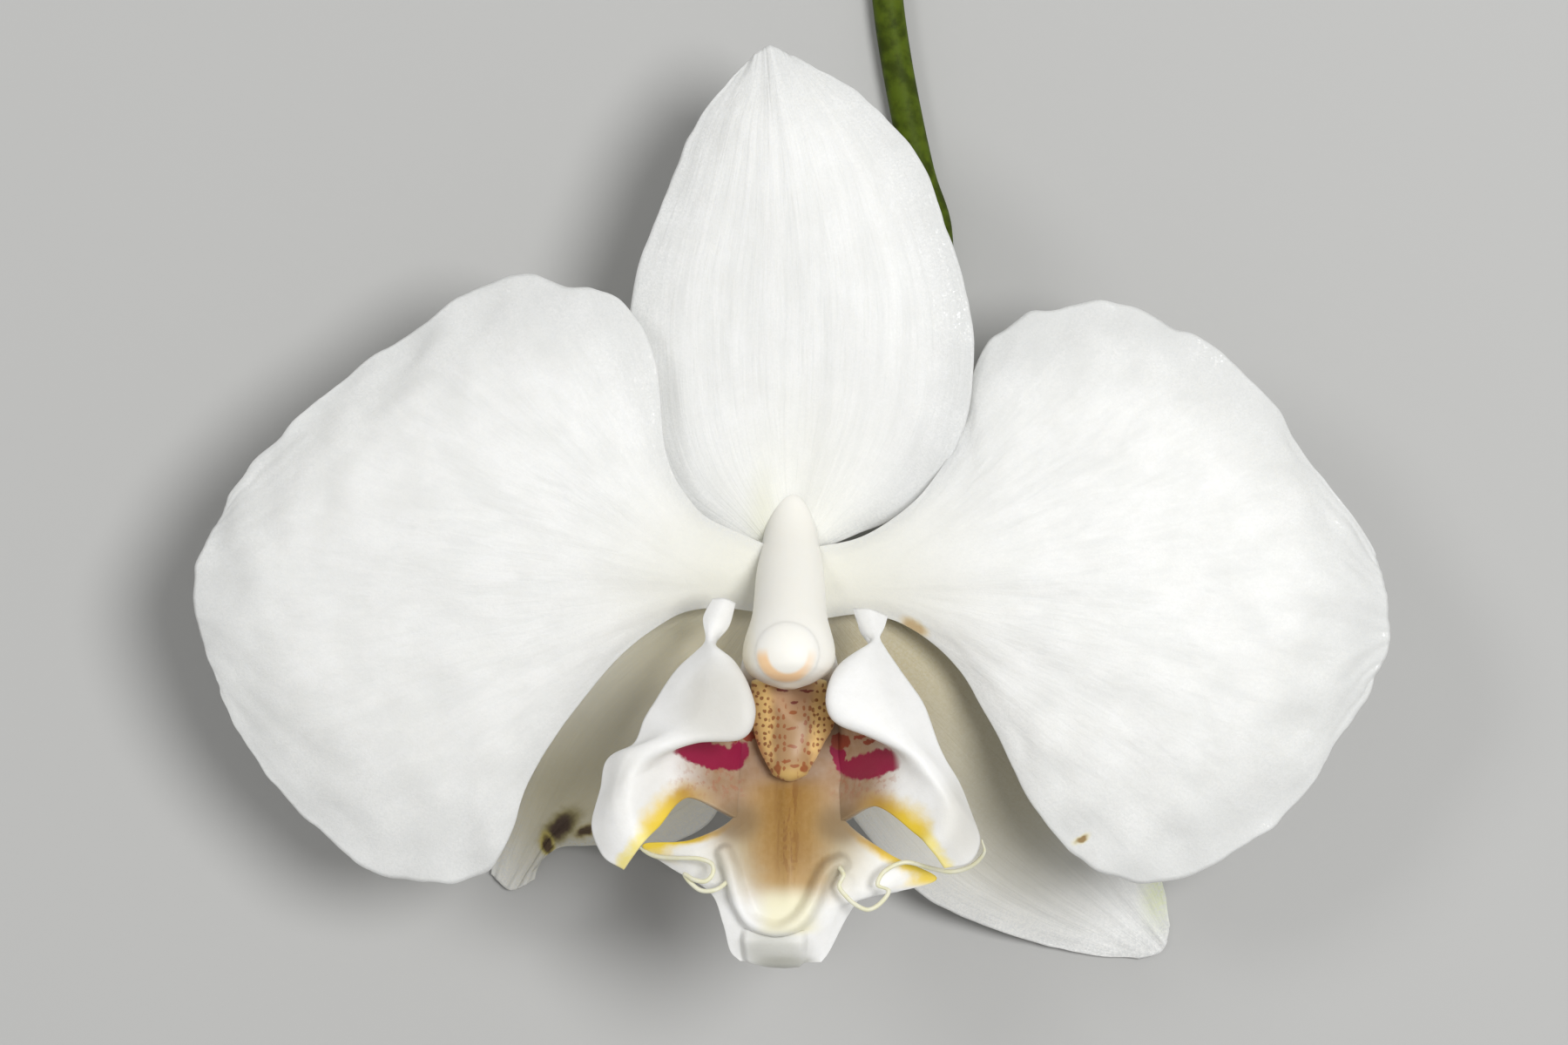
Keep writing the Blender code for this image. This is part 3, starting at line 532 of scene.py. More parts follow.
lip = {
    "floorLeft": [(-1.4, -2.5, 1.4), (-3.0, -5.4, 2.6), (-3.9, -8.2, 3.5), (-4.1, -11.2, 3.9),
                  (-4.2, -15.0, 4.8), (-4.4, -18.2, 6.0), (-4.6, -20.8, 7.0), (-8.0, -22.5, 7.9),
                  (-12.0, -22.9, 7.5), (-9.8, -24.7, 7.6), (-6.5, -26.7, 8.2), (-5.4, -29.2, 8.6),
                  (-4.8, -31.5, 8.6), (-4.0, -32.4, 8.7)],
    "floorKeel": [(0.1, -2.5, 1.3), (0.1, -5.4, 2.3), (0.1, -8.2, 3.1), (0.1, -11.2, 3.7),
                  (0.1, -14.6, 4.6), (0.1, -17.8, 6.0), (0.1, -20.2, 7.3), (0.1, -22.8, 8.5),
                  (0.1, -25.2, 9.2), (0.1, -27.2, 9.6), (0.1, -29.0, 9.8), (0.0, -30.8, 9.7),
                  (-0.2, -32.0, 9.2), (-0.5, -32.45, 8.5)],
    "floorRight": [(1.6, -2.5, 1.4), (3.2, -5.4, 2.6), (4.1, -8.2, 3.5), (4.3, -11.2, 3.9),
                   (4.4, -15.0, 4.8), (4.5, -18.4, 6.0), (4.7, -21.0, 7.0), (8.2, -23.6, 8.0),
                   (12.2, -25.6, 7.5), (9.4, -26.6, 7.9), (6.4, -26.9, 8.4), (4.9, -28.6, 8.5),
                   (3.4, -31.5, 8.6), (2.7, -32.5, 8.7)],
    "leftSeam": [(-4.2, -20.4, 6.5), (-3.8, -19.2, 6.0), (-3.5, -18.0, 5.4), (-3.2, -16.7, 4.8),
                 (-3.0, -15.5, 4.4), (-2.8, -14.4, 4.1), (-2.7, -13.0, 3.8), (-2.7, -11.4, 4.0),
                 (-3.2, -9.8, 3.8), (-4.8, -8.4, 5.4), (-6.2, -6.6, 8.4), (-5.3, -5.0, 7.2),
                 (-4.7, -3.2, 6.0)],
    "rightSeam": [(4.2, -20.7, 6.5), (3.9, -19.5, 6.0), (3.6, -18.2, 5.4), (3.3, -17.0, 4.8),
                  (3.1, -15.7, 4.4), (2.9, -14.5, 4.1), (2.8, -13.1, 3.8), (2.8, -11.5, 4.0),
                  (3.3, -9.8, 3.8), (4.9, -8.6, 5.4), (6.8, -6.7, 8.4), (6.3, -5.5, 7.2),
                  (5.7, -3.8, 6.0)],
    "leftRoot": [(-4.5, -20.7, 7.0), (-4.4, -19.4, 6.5), (-4.3, -18.2, 6.0), (-4.2, -16.9, 5.4),
                 (-4.1, -15.7, 5.0), (-4.0, -14.6, 4.6), (-3.9, -13.2, 4.2), (-3.9, -11.4, 3.8),
                 (-4.0, -9.8, 3.9), (-5.2, -8.2, 6.0), (-6.3, -6.5, 8.7), (-5.2, -4.9, 7.4),
                 (-4.6, -3.1, 6.2)],
    "leftWall": [(-8.3, -18.9, 10.2), (-8.6, -17.7, 10.3), (-8.9, -16.7, 10.0), (-8.9, -15.6, 9.7),
                 (-8.2, -14.6, 9.4), (-6.65, -13.5, 9.15), (-4.85, -12.7, 9.05), (-4.35, -10.9, 8.85),
                 (-4.65, -8.95, 8.55), (-5.75, -7.2, 8.9), (-6.3, -6.4, 8.9), (-5.2, -4.8, 7.5),
                 (-4.6, -3.0, 6.3)],
    "leftFold": [(-10.7, -21.2, 12.3), (-11.6, -19.9, 12.8), (-12.1, -18.0, 13.0),
                 (-12.1, -16.6, 12.8), (-10.7, -15.2, 12.7), (-7.5, -14.1, 12.7), (-4.0, -13.8, 12.9),
                 (-3.0, -12.0, 12.9), (-3.5, -9.7, 12.2), (-4.6, -7.8, 10.8), (-6.2, -6.4, 9.0),
                 (-5.1, -4.8, 7.6), (-4.5, -3.0, 6.4)],
    "leftMargin": [(-13.4, -24.6, 13.0), (-15.1, -23.5, 12.5), (-16.0, -21.2, 11.8),
                   (-15.3, -18.1, 11.2), (-14.8, -15.8, 11.0), (-12.7, -14.6, 10.8),
                   (-11.7, -12.4, 10.4), (-10.5, -10.3, 9.8), (-8.9, -8.3, 9.4), (-7.6, -7.0, 9.2),
                   (-6.8, -6.0, 8.8), (-7.0, -4.2, 7.7), (-6.2, -2.7, 6.7)],
    "rightRoot": [(4.5, -21.0, 7.0), (4.5, -19.7, 6.5), (4.4, -18.4, 6.0), (4.4, -17.2, 5.4),
                  (4.3, -15.9, 5.0), (4.3, -14.7, 4.6), (4.3, -13.3, 4.2), (4.1, -11.5, 3.8),
                  (4.2, -9.8, 3.9), (5.4, -8.4, 6.0), (6.9, -6.6, 8.7), (6.2, -5.4, 7.4),
                  (5.6, -3.7, 6.2)],
    "rightWall": [(7.3, -19.6, 10.2), (7.5, -18.5, 10.3), (7.7, -17.4, 10.2), (7.8, -16.2, 9.8),
                  (7.6, -14.7, 9.4), (6.4, -13.35, 9.15), (5.1, -12.1, 9.05), (4.6, -10.5, 8.85),
                  (4.8, -8.75, 8.55), (5.85, -7.4, 8.9), (6.85, -6.5, 8.9), (6.15, -5.3, 7.5),
                  (5.55, -3.5, 6.3)],
    "rightFold": [(10.4, -21.7, 12.3), (11.2, -20.3, 12.8), (11.6, -18.2, 13.0), (10.6, -16.5, 12.8),
                  (9.2, -14.9, 12.7), (6.7, -13.6, 12.7), (4.1, -12.5, 12.9), (3.3, -11.1, 12.9),
                  (3.6, -9.3, 12.2), (4.6, -7.9, 10.8), (6.8, -6.5, 9.0), (6.1, -5.3, 7.6),
                  (5.5, -3.5, 6.4)],
    "rightMargin": [(12.7, -24.5, 13.0), (14.7, -24.0, 12.5), (15.6, -22.1, 11.8),
                    (14.7, -19.7, 11.2), (13.9, -17.7, 11.0), (12.3, -14.7, 10.8),
                    (11.2, -11.7, 10.4), (10.0, -9.7, 9.8), (8.8, -8.1, 9.4), (8.0, -6.8, 9.2),
                    (7.5, -5.9, 8.8), (7.9, -5.0, 7.8), (8.2, -4.1, 6.9)],
    "flapPush": (0.2, 0.5, 1.0),  # to the flower's middle, up the photo, and out
    "thickness": 0.5,
    "floorCells": (220, 150),
    "lobeCells": (120, 120),
    "lobeWave": 0.2,
    "creases": 0.05,
    "keelRise": 0.3,
    "keelHalfWidth": 0.6,
    "ridge": [(-5.2, -23.7), (-4.7, -24.9), (-4.3, -26.2), (-3.8, -27.6), (-3.1, -28.9), (-1.9, -29.6),
              (-0.7, -29.8), (0.4, -29.3), (1.3, -28.4), (2.0, -27.2), (2.6, -25.8), (3.3, -24.8),
              (4.2, -24.4)],
    "ridgeRise": 1.1,
    "ridgeHalfWidth": 0.5,
    "chinRise": 0.9,
    "chinTop": (-29.4, -30.6),
    "chinLeft": (-3.9, -3.1),
    "chinRight": (1.5, 0.7),
    "white": (0.9, 0.895, 0.87),
    "shade": (0.76, 0.76, 0.72),
    "tan": (0.38, 0.245, 0.14),
    # painted shade: khaki-grey where the lip's hollow lies in shade, warm from light through the thin sheet
    "khakiShade": (0.44, 0.38, 0.24),
    "magenta": (0.31, 0.011, 0.06),
    "rust": (0.3, 0.06, 0.03),
    "speckle": (0.42, 0.17, 0.1),
    "yellow": (0.9, 0.62, 0.05),
    "paleYellow": (0.92, 0.8, 0.32),
    "ochre": (0.5, 0.3, 0.06),
    "keel": (0.32, 0.175, 0.04),
    "orange": (0.48, 0.3, 0.1),
    "streak": (0.22, 0.09, 0.02),
    "cream": (0.86, 0.81, 0.56),
    "flush": ((0.15, -16.4), (8.1, 8.2)),  # the tan flush: centre, half size
    "khakiShadePatch": ((0.3, -23.4), (6.2, 3.8)),
    "speckled": ((0.1, -17.4), (8.6, 1.9)),
    "glowWidth": (4.8, 0.8),  # these pairs say where a colour is nothing, and where it is full
    "glowTop": (-17.0, -19.0),
    "glowEnd": (-28.4, -25.4),
    "keelWidth": (4.6, -0.2),
    "keelTop": (-16.8, -18.6),
    "keelEnd": (-26.8, -23.2),
    "streakWidth": (1.5, 0.3),
    "streakStretch": (2.6, 0.3, 0.3),
    "creamWidth": (3.2, 1.2),
    "creamTop": (-25.8, -27.8),
    "creamEnd": (-30.4, -29.6),
    "greatestMarkHeight": 11.6,
    "hoodHeight": (10.6, 11.6),
    # painted shade colours for the hoods, the chin and the notch corners
    "hoodShade": (0.57, 0.55, 0.49),
    "chin": (0.46, 0.46, 0.4),
    "cornerShade": (0.22, 0.145, 0.07),
    "shadows": [  # colour, centre, half size, share
        ("hoodShade", (-5.4, -11.4), (3.4, 3.6), 0.6),
        ("hoodShade", (-12.4, -17.6), (2.4, 3.2), 0.2),
        ("hoodShade", (14.2, -20.6), (2.0, 3.6), 0.55),
        ("cornerShade", (-4.3, -21.0), (1.9, 1.5), 0.6),
        ("cornerShade", (4.3, -21.2), (1.9, 1.5), 0.6),
        ("chin", (-1.2, -31.4), (2.6, 1.6), 0.6),
        ("chin", (-0.3, -32.6), (2.4, 0.7), 0.7),
    ],
    "marks": [  # colour, centre, half size, turn
        ("magenta", (-6.7, -15.4), (2.9, 1.05), -0.3),
        ("magenta", (-4.3, -15.7), (1.3, 0.9), 0.9),
        ("magenta", (7.0, -16.2), (2.7, 1.05), 0.33),
        ("magenta", (4.1, -15.5), (0.55, 1.4), 0.25),
        ("magenta", (4.9, -16.6), (1.0, 0.6), 0.0),
        ("rust", (-3.25, -14.1), (0.55, 0.5), 0.0),
        ("rust", (4.3, -14.5), (0.85, 0.6), 0.2),
        ("rust", (6.0, -14.0), (0.5, 0.17), 0.5),
        ("rust", (6.7, -14.3), (0.6, 0.2), 0.4),
        ("rust", (6.6, -13.7), (0.35, 0.15), 0.3),
        ("rust", (-4.9, -14.3), (0.18, 0.14), 0.0),
        ("rust", (-4.5, -14.5), (0.15, 0.2), 0.0),
    ],
}


def lipPaint(name, yellowEdge):
    paint = Paint(name, flesh)
    place = paint.place()
    x, y, z = (paint.part(place, axis) for axis in "XYZ")
    away = paint.size(x)
    cells = paint.cells(place, tepalLook["cellsPerMm"])
    ragged = paint.ragged(place, 1.4, 0.4)
    patchy = paint.noise(place, 1.1, 4.0)
    dabs = paint.noise(place, 2.0, 2.0)
    streaks = paint.noise(paint.stretched(place, lip["streakStretch"]), 1.0, 3.0, 0.4)
    greatest = lip["greatestMarkHeight"]
    low = paint.soft(z, greatest + 0.6, greatest - 0.6)
    mottle = (1.0 - cells) * 0.12 + paint.soft(patchy, 0.6, 0.35) * 0.12
    colour = paint.mix(mottle, lip["white"], lip["shade"])
    flush = paint.oval(place, *lip["flush"], 0.0, 0.25) * low
    colour = paint.mix(flush * (0.78 + patchy * 0.3), colour, lip["tan"])
    # painted shade in the lip's hollow beyond the tan flush
    khakiShade = paint.oval(place, *lip["khakiShadePatch"], 0.0, 0.45) * low
    colour = paint.mix(khakiShade * 0.75, colour, lip["khakiShade"])
    glow = paint.soft(away + (patchy - 0.5) * 1.2, *lip["glowWidth"]) * paint.soft(y, *lip["glowEnd"]) * low
    colour = paint.mix(glow * paint.soft(y, *lip["glowTop"]) * 0.9, colour, lip["orange"])
    ends = paint.soft(y, *lip["keelEnd"]) * paint.soft(y, *lip["keelTop"]) * low
    keel = paint.soft(away + (streaks - 0.5) * 2.0, *lip["keelWidth"]) * ends
    colour = paint.mix(keel * (0.8 + paint.soft(dabs, 0.65, 0.4) * 0.2), colour, lip["keel"])
    streaky = paint.soft(streaks + (dabs - 0.5) * 0.5, 0.47, 0.6) * paint.soft(away, *lip["streakWidth"])
    colour = paint.mix(streaky * ends * 0.6, colour, lip["streak"])
    creamEnds = paint.soft(y, *lip["creamTop"]) * paint.soft(y, *lip["creamEnd"])
    cream = paint.soft(away, *lip["creamWidth"]) * creamEnds
    colour = paint.mix(cream * 0.8, colour, lip["cream"])
    margin, warm, pale = yellowEdge(paint, patchy)
    shade = paint.mix(pale, paint.mix(warm, lip["yellow"], lip["ochre"]), lip["paleYellow"])
    colour = paint.mix(margin, colour, shade)
    near = paint.oval(place, *lip["speckled"], 0.0, 0.4) * low * paint.soft(away, 3.0, 4.2)
    colour = paint.mix(paint.soft(dabs, 0.52, 0.64) * near * 0.55, colour, lip["speckle"])
    # painted shade: darker ovals on the hoods facing away from the light, the chin and the notch corners
    for shade, centre, size, share in lip["shadows"]:
        high = paint.soft(z, *lip["hoodHeight"]) if shade == "hoodShade" else 1.0
        colour = paint.mix(paint.oval(place, centre, size, 0.0, 0.5) * share * high, colour, lip[shade])
    for shade, centre, size, turn in lip["marks"]:
        colour = paint.mix(paint.oval(ragged, centre, size, turn, 0.12) * low, colour, lip[shade])
    paint.feed("Base Color", colour)
    paint.feed("Normal", paint.bump(cells * 0.15 + patchy, 0.3, tepalLook["bumpDistance"]))
    return paint.material


def lobeYellow(paint, patchy):  # along the lower margin, from the notch out to the lobe's tip
    along, across = paint.shares()
    width = 0.085 - 0.05 * paint.soft(across, 0.58, 0.85)
    band = paint.soft(along + (patchy - 0.5) * 0.06, width * 1.6, width * 0.25)
    pale = paint.soft(across, 0.6, 0.8) * 0.8
    return band * paint.soft(across, 0.24, 0.42), paint.soft(across, 0.56, 0.4), pale


def wingYellow(paint, patchy):  # along the upper margins of the two wings, on the lip's floor
    along, across = paint.shares()
    side = paint.size(across - 0.5) * 2.0
    window = paint.soft(along, 0.46, 0.53) * paint.soft(along, 0.68, 0.62)
    band = paint.soft(side + (patchy - 0.5) * 0.15, 0.74, 0.94) * window
    return band, paint.soft(along, 0.585, 0.5), 0.0


def sheetThickness(u, v):
    edge = min(min(v, 1 - v) * 6, (1 - u) * 6, 1.0)
    return lip["thickness"] * (0.45 + 0.55 * edge)


def lobeRelief(u, v, place):
    outer = fade(v, 0.6, 1.0)
    wave = noise.noise(Vector((place.x * 0.4, place.y * 0.4, 3.0)))
    fan = noise.noise(Vector((u * 6.0, v * 2.0, 9.0)))
    return lip["lobeWave"] * outer * wave + lip["creases"] * fan


def buildLobe(name, side, sign, finish):
    names = ("Seam", "Root", "Wall", "Fold", "Margin")
    seam, root, wall, fold, margin = (lineOf(lip[side + line]) for line in names)
    pushX, pushY, pushZ = lip["flapPush"]
    flap = between(fold, margin, (-sign * pushX, pushY, pushZ))
    lines = [seam, root, wall, fold, flap, margin]
    sheetPiece(name, lines, lip["lobeCells"], sheetThickness, lobeRelief, finish, "lip")


ridgePoints = spread(lip["ridge"], 160)


def ridgeHeight(x, y):  # the raised white U, and the chin that hangs from its bend
    spot = Vector((x, y))
    away = min((spot - point).length for point in ridgePoints)
    crest = math.exp(-((away / lip["ridgeHalfWidth"]) ** 2))
    chin = fade(y, *lip["chinTop"]) * fade(x, *lip["chinLeft"]) * fade(x, *lip["chinRight"])
    chin *= 1 - 0.45 * fade(y, -30.4, -32.6)  # lower towards its end
    return max(lip["ridgeRise"] * crest, lip["chinRise"] * chin)


def floorRelief(u, v, place):
    keel = lip["keelRise"] * math.exp(-((place.x / lip["keelHalfWidth"]) ** 2))
    keel *= fade(place.y, -29.0, -24.0)
    creases = lip["creases"] * noise.noise(Vector((u * 4.0, v * 8.0, 5.0)))
    near = place.y < -22.0
    return keel + creases + (ridgeHeight(place.x, place.y) if near else 0.0)


tendrils = {
    "left": [(-5.0, -25.8, 9.6), (-5.9, -26.4, 10.4), (-7.1, -26.5, 10.3), (-8.0, -25.9, 10.0),
             (-8.5, -25.2, 9.9), (-7.7, -25.6, 10.5), (-6.8, -25.7, 10.7), (-6.2, -25.1, 10.6),
             (-6.3, -24.3, 10.3), (-7.4, -23.9, 10.0), (-9.2, -23.9, 9.3), (-10.8, -23.8, 8.8),
             (-11.8, -23.4, 8.4), (-12.2, -23.1, 8.2)],
    "right": [(4.1, -24.5, 9.6), (4.5, -25.2, 10.4), (4.15, -26.1, 10.8), (4.7, -26.9, 11.0),
              (5.5, -27.6, 11.1), (6.5, -28.0, 11.1), (7.5, -27.5, 10.9), (8.2, -26.5, 10.6),
              (7.3, -26.0, 10.4), (7.9, -24.9, 10.2), (9.6, -24.2, 9.9), (11.6, -24.7, 9.5),
              (13.4, -25.0, 9.5), (15.0, -24.5, 9.9), (16.0, -23.4, 10.4), (15.8, -22.3, 10.8)],
    "radius": 0.19,
    "tipShare": 0.4,
    "cells": (180, 12),
    "colour": (0.8, 0.785, 0.6),
    "tinge": (0.78, 0.76, 0.5),
}


def plainPaint(name, fixed, first, second, scale, bumpSize):
    paint = Paint(name, fixed)
    mottle = paint.noise(paint.place(), scale, 4.0)
    paint.feed("Base Color", paint.mix(paint.soft(mottle, 0.35, 0.65), first, second))
    paint.feed("Normal", paint.bump(mottle, 0.3, bumpSize))
    return paint.material


floorLines = [lineOf(lip["floor" + side]) for side in ("Left", "Keel", "Right")]
floorFinish = lipPaint("lipFloorPaint", wingYellow), "lip_white"
sheetPiece("lipFloor", floorLines, lip["floorCells"], sheetThickness, floorRelief, floorFinish, "lip")
lobeFinish = lipPaint("lipLobesPaint", lobeYellow), "lip_white"
buildLobe("leftLobe", "left", -1, lobeFinish)
buildLobe("rightLobe", "right", 1, lobeFinish)
tendrilPaint = plainPaint("tendrilPaint", flesh, tendrils["tinge"], tendrils["colour"], 1.5, 0.00005)
for side in ("left", "right"):
    radii = [tendrils["radius"]] * 8 + [tendrils["radius"] * tendrils["tipShare"]]
    tubePiece(side + "Tendril", tendrils[side], radii, tendrils["cells"], (tendrilPaint, "lip_white"), "lip")
print("lip made")


# Callus

callus = {
    "top": -9.0,
    "tip": -17.7,
    "centre": [0.05, 0.07, 0.1, 0.35, 0.4, 0.2, 0.13, 0.12, 0.1],
    "halfWidth": [3.1, 3.15, 3.2, 3.45, 3.3, 2.85, 2.35, 1.75, 1.1],
    "base": [4.8, 4.9, 5.4, 6.2, 6.9],
    "height": [2.5, 3.0, 2.7, 2.2, 1.2],
    "grooveDepth": 1.9,
    "grooveCentre": 0.4,
    "grooveHalfWidth": 1.5,
    "grooveLength": 0.45,
    "cells": (96, 72),
    "sides": (0.97, 0.68, 0.28),
    "middle": (0.44, 0.27, 0.13),
    "tipColour": (0.6, 0.4, 0.14),
    "spot": (0.34, 0.1, 0.03),
    "throat": (0.54, 0.34, 0.21),
    "bar": (0.2, 0.03, 0.03),
    "coat": {"Coat Weight": 0.2, "Coat Roughness": 0.3},
    "throatPlace": ((0.4, -9.6), (1.9, 2.6)),  # centre, half size
    "flankEdge": (1.1, 2.1),
    "tipEdge": (-15.8, -17.2),
    "smallDots": (1.8, 0.13),  # how many on a millimetre, and their radius
    "largeDots": (1.5, 0.17),
    "dotStretch": (1.3, 0.9, 1.0),
    "marks": [  # colour, centre, half size, turn
        ("spot", (0.4, -12.0), (0.34, 0.14), 0.0),
        ("spot", (0.25, -13.3), (0.42, 0.13), 0.1),
        ("spot", (0.3, -14.75), (0.45, 0.15), -0.1),
        ("spot", (-0.2, -16.0), (0.4, 0.14), 0.1),
        ("spot", (0.5, -16.4), (0.36, 0.15), 0.0),
        ("spot", (-0.9, -16.6), (0.3, 0.36), 0.3),
        ("spot", (1.3, -16.6), (0.3, 0.34), -0.4),
        ("bar", (-0.5, -10.2), (0.5, 0.12), -0.1),
        ("bar", (1.5, -10.25), (0.6, 0.12), 0.05),
        ("bar", (0.5, -11.2), (0.36, 0.13), 0.0),
    ],
}


def callusPaint():
    paint = Paint("callusPaint", {**flesh, **callus["coat"]})
    place = paint.place()
    x, y = paint.part(place, "X"), paint.part(place, "Y")
    away = paint.size(x - 0.3)
    flank = paint.soft(away + (paint.noise(place, 0.8, 2.0) - 0.5) * 0.8, *callus["flankEdge"])
    colour = paint.mix(flank, callus["middle"], callus["sides"])
    colour = paint.mix(paint.soft(y, *callus["tipEdge"]), colour, callus["tipColour"])
    throat = paint.oval(place, *callus["throatPlace"], 0.0, 0.4)
    colour = paint.mix(throat * 0.8, colour, callus["throat"])
    wobble = paint.ragged(place, 1.8, 0.16)
    small = paint.dots(wobble, *callus["smallDots"]) * paint.soft(away, 1.7, 2.0)
    large = paint.dots(paint.stretched(wobble, callus["dotStretch"]), *callus["largeDots"])
    inside = paint.soft(away, 0.35, 0.6) * paint.soft(away, 2.0, 1.7) * paint.soft(y, -10.6, -11.6)
    dots = small + large * inside
    colour = paint.mix(dots * 0.85, colour, callus["spot"])
    for shade, centre, size, turn in callus["marks"]:
        colour = paint.mix(paint.oval(wobble, centre, size, turn, 0.2) * 0.9, colour, callus[shade])
    paint.feed("Base Color", colour)
    paint.feed("Normal", paint.bump(paint.noise(place, 1.6, 2.0), 0.2, tepalLook["bumpDistance"]))
    return paint.material


def buildCallus():
    bm = bmesh.new()
    around, along = callus["cells"]
    bmesh.ops.create_uvsphere(bm, u_segments=around, v_segments=along, radius=1.0)
    length = callus["tip"] - callus["top"]
    share = {}
    for vert in bm.verts:
        place = vert.co.copy()
        down = (1 - place.y) / 2
        ring = max(math.sqrt(max(1 - place.y**2, 0.0)), 1e-6)
        side, up = place.x / ring, place.z / ring
        fullness = fade(ring, -0.35, 0.6)
        width = smoothPoint(callus["halfWidth"], down) * min(ring / 0.45, 1.0)
        height = smoothPoint(callus["height"], down) * fullness
        gap = max(1 - down / callus["grooveLength"], 0.0)
        grooveHalfWidth = callus["grooveHalfWidth"] * (0.35 + gap * 0.65)
        inGroove = math.exp(-(((side * width - callus["grooveCentre"]) / grooveHalfWidth) ** 2))
        rise = max(up, 0.0) * (height - callus["grooveDepth"] * inGroove * fade(gap, 0.0, 0.9))
        belly = 0.35 * min(up, 0.0) * fullness  # rounded a little underneath
        vert.co = Vector((smoothPoint(callus["centre"], down) + side * width,
                          callus["top"] + down * length,
                          smoothPoint(callus["base"], down) + rise + belly))
        share[vert] = (down, (side + 1) / 2)
    bmesh.ops.recalc_face_normals(bm, faces=bm.faces)
    finish = callusPaint(), "callus_yellow"
    finishPiece("callusCushion", bm, share, finish, "callus")


buildCallus()
print("callus made")


# Column and anther cap

column = {
    "path": [(0.2, 5.4, -2.9), (0.2, 3.0, -1.3), (0.2, 0.9, 0.6), (0.15, -1.0, 2.8), (0.1, -4.2, 6.8),
             (0.05, -6.8, 8.9), (0.0, -8.4, 9.45), (0.0, -9.35, 9.6), (0.0, -9.95, 9.7)],
    "radii": [1.8, 2.2, 2.55, 2.85, 3.1, 3.78, 3.5, 2.3, 0.7],
    "cells": (140, 80),
    "skin": 0.02,  # how far the cap lies over the column
    "capStart": 0.5,
    "capCells": (80, 120),
    "capCentre": (-0.1, -7.0, 9.0),
    "capHalfSize": (3.1, 3.0),
    "capFoot": (9.4, 10.6),  # heights between which it comes out of the column
    "capSink": 0.018,
    "crescentInside": ((-0.05, -6.95), (1.66, 1.72)),  # centre, half size
    "crescentOutside": ((-0.15, -7.1), (2.42, 2.3)),
    "leftShade": (2.2, 3.8),
    "endShade": (-8.6, -9.9),
    "white": (0.9, 0.885, 0.83),
    "cream": (0.88, 0.8, 0.58),
    "apricot": (0.97, 0.62, 0.33),
}


def columnPaint(name, crescent):
    paint = Paint(name, flesh)
    place = paint.place()
    x, y = paint.part(place, "X"), paint.part(place, "Y")
    mottle = paint.noise(place, 0.6, 3.0)
    side = paint.soft(x * -1.0, *column["leftShade"]) * 0.6 + paint.soft(y, *column["endShade"]) * 0.35
    colour = paint.mix(side + mottle * 0.12, column["white"], column["cream"])
    if crescent:  # the cap's lower rim
        inner = paint.oval(place, *column["crescentInside"], 0.0, 0.1)
        outer = paint.oval(place, *column["crescentOutside"], 0.0, 0.08)
        fading = (paint.soft(x, 2.3, 0.6) * 0.75 + 0.25) * paint.soft(y, -6.4, -7.5)
        colour = paint.mix((1.0 - inner) * outer * fading * 0.9, colour, column["apricot"])
    paint.feed("Base Color", colour)
    paint.feed("Normal", paint.bump(mottle, 0.15, 0.0002))
    return paint.material


def capShape(place):  # level with the column's skin inside an oval, under it all round
    centre, (wide, high) = Vector(column["capCentre"]), column["capHalfSize"]
    inside = 1 - ((place.x - centre.x) / wide) ** 2 - ((place.y - centre.y) / high) ** 2
    shown = fade(inside, 0.0, 0.4) * fade(place.z, *column["capFoot"])
    return centre + (place - centre) * (1 - column["capSink"] * (1 - shown))


columnFinish = columnPaint("columnPaint", False), "column_cream"
tubePiece("columnArch", column["path"], column["radii"], column["cells"], columnFinish, "column")
capFinish = columnPaint("capPaint", True), "cap_apricot"
capRadii = [radius + column["skin"] for radius in column["radii"]]
tubePiece("antherCap", column["path"], capRadii, column["capCells"], capFinish, "anther_cap",
          start=column["capStart"], shape=capShape)
print("column made")


# Stem

stem = {
    "path": [(0.2, 0.4, -0.7), (0.4, 0.6, -3.4), (1.8, 2.6, -7.8), (5.4, 8.0, -13.0),
             (9.6, 15.0, -15.9), (12.6, 23.0, -16.65), (12.9, 29.0, -16.65), (11.4, 34.0, -16.65),
             (9.9, 41.0, -16.65), (8.9, 47.0, -16.65), (8.3, 52.5, -16.65)],
    "radii": [2.1, 2.2, 2.1, 1.85, 1.55] + [1.35] * 6,
    "green": (0.037, 0.054, 0.003),
    "light": (0.08, 0.117, 0.007),
    "cells": (160, 32),
    "look": {
        "Roughness": 0.6,
        "Subsurface Weight": 0.1,
        "Subsurface Scale": 0.0008,
        "Specular IOR Level": 0.12,
    },
}
stemFinish = plainPaint("stemPaint", stem["look"], stem["green"], stem["light"], 0.7, 0.0002), "stem_green"
tubePiece("stemAndOvary", stem["path"], stem["radii"], stem["cells"], stemFinish, "stem_and_ovary")
print("stem made")


# Floor, light and camera

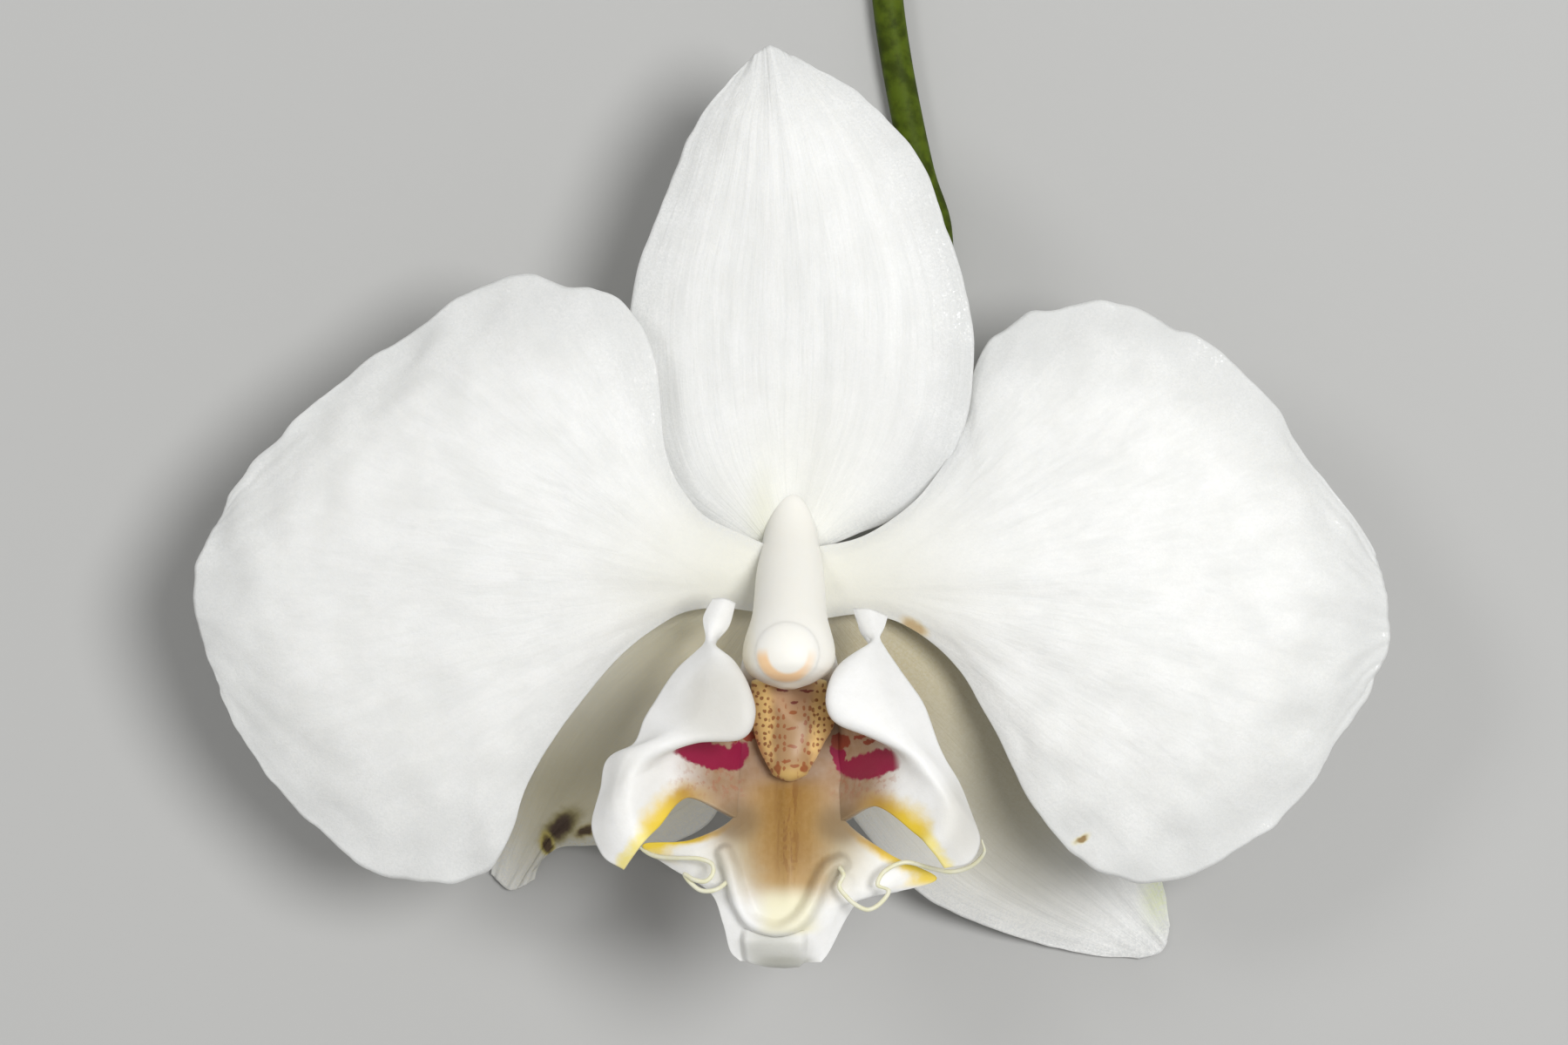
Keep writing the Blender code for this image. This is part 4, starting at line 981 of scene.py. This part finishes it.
studio = {
    "floorColour": (0.5, 0.5, 0.49),
    "floorSize": 3.0,
    "world": 0.33,
    "rightPlace": (0.27, 0.07, 0.7),
    "rightSize": 0.3,
    "rightPower": 3.9,
    "leftPlace": (-0.42, 0.26, 0.62),
    "leftSize": 0.25,
    "leftPower": 1.0,
    "cameraHeight": 0.45,
    "cameraShiftFromHeart": (-0.365, 3.65),
    "lens": 123.3,
}


def buildFloor():
    bm = bmesh.new()
    bmesh.ops.create_grid(bm, x_segments=8, y_segments=8, size=studio["floorSize"] / 2)
    mesh = bpy.data.meshes.new("floor")
    bm.to_mesh(mesh)
    bm.free()
    floor = bpy.data.objects.new("floor", mesh)
    bpy.context.scene.collection.objects.link(floor)
    paint = Paint("floorPaint", {"Roughness": 0.8, "Specular IOR Level": 0.1,
                                 "Base Color": (*studio["floorColour"], 1.0)})
    mesh.materials.append(paint.material)


def addSoftLight(name, place, size, power):
    data = bpy.data.lights.new(name, "AREA")
    data.shape = "DISK"
    data.size = size
    data.energy = power
    lamp = bpy.data.objects.new(name, data)
    bpy.context.scene.collection.objects.link(lamp)
    lamp.location = Vector(place)
    lamp.rotation_euler = (-Vector(place)).to_track_quat("-Z", "Y").to_euler()


def addCamera():
    data = bpy.data.cameras.new("camera")
    data.lens = studio["lens"]
    data.sensor_width = 36.0
    data.clip_start = 0.01
    camera = bpy.data.objects.new("camera", data)
    bpy.context.scene.collection.objects.link(camera)
    x, y = studio["cameraShiftFromHeart"]
    camera.location = ((heart.x + x) * mm, (heart.y + y) * mm, heart.z * mm + studio["cameraHeight"])
    bpy.context.scene.camera = camera


def lightWorld():
    world = bpy.data.worlds.new("studio")
    bpy.context.scene.world = world
    world.use_nodes = True
    background = world.node_tree.nodes["Background"]
    background.inputs["Color"].default_value = (1.0, 1.0, 1.0, 1.0)
    background.inputs["Strength"].default_value = studio["world"]


buildFloor()
addSoftLight("rightLight", studio["rightPlace"], studio["rightSize"], studio["rightPower"])
addSoftLight("leftLight", studio["leftPlace"], studio["leftSize"], studio["leftPower"])
lightWorld()
addCamera()
bpy.context.scene.view_settings.view_transform = "Standard"
print("floor, light and camera made")
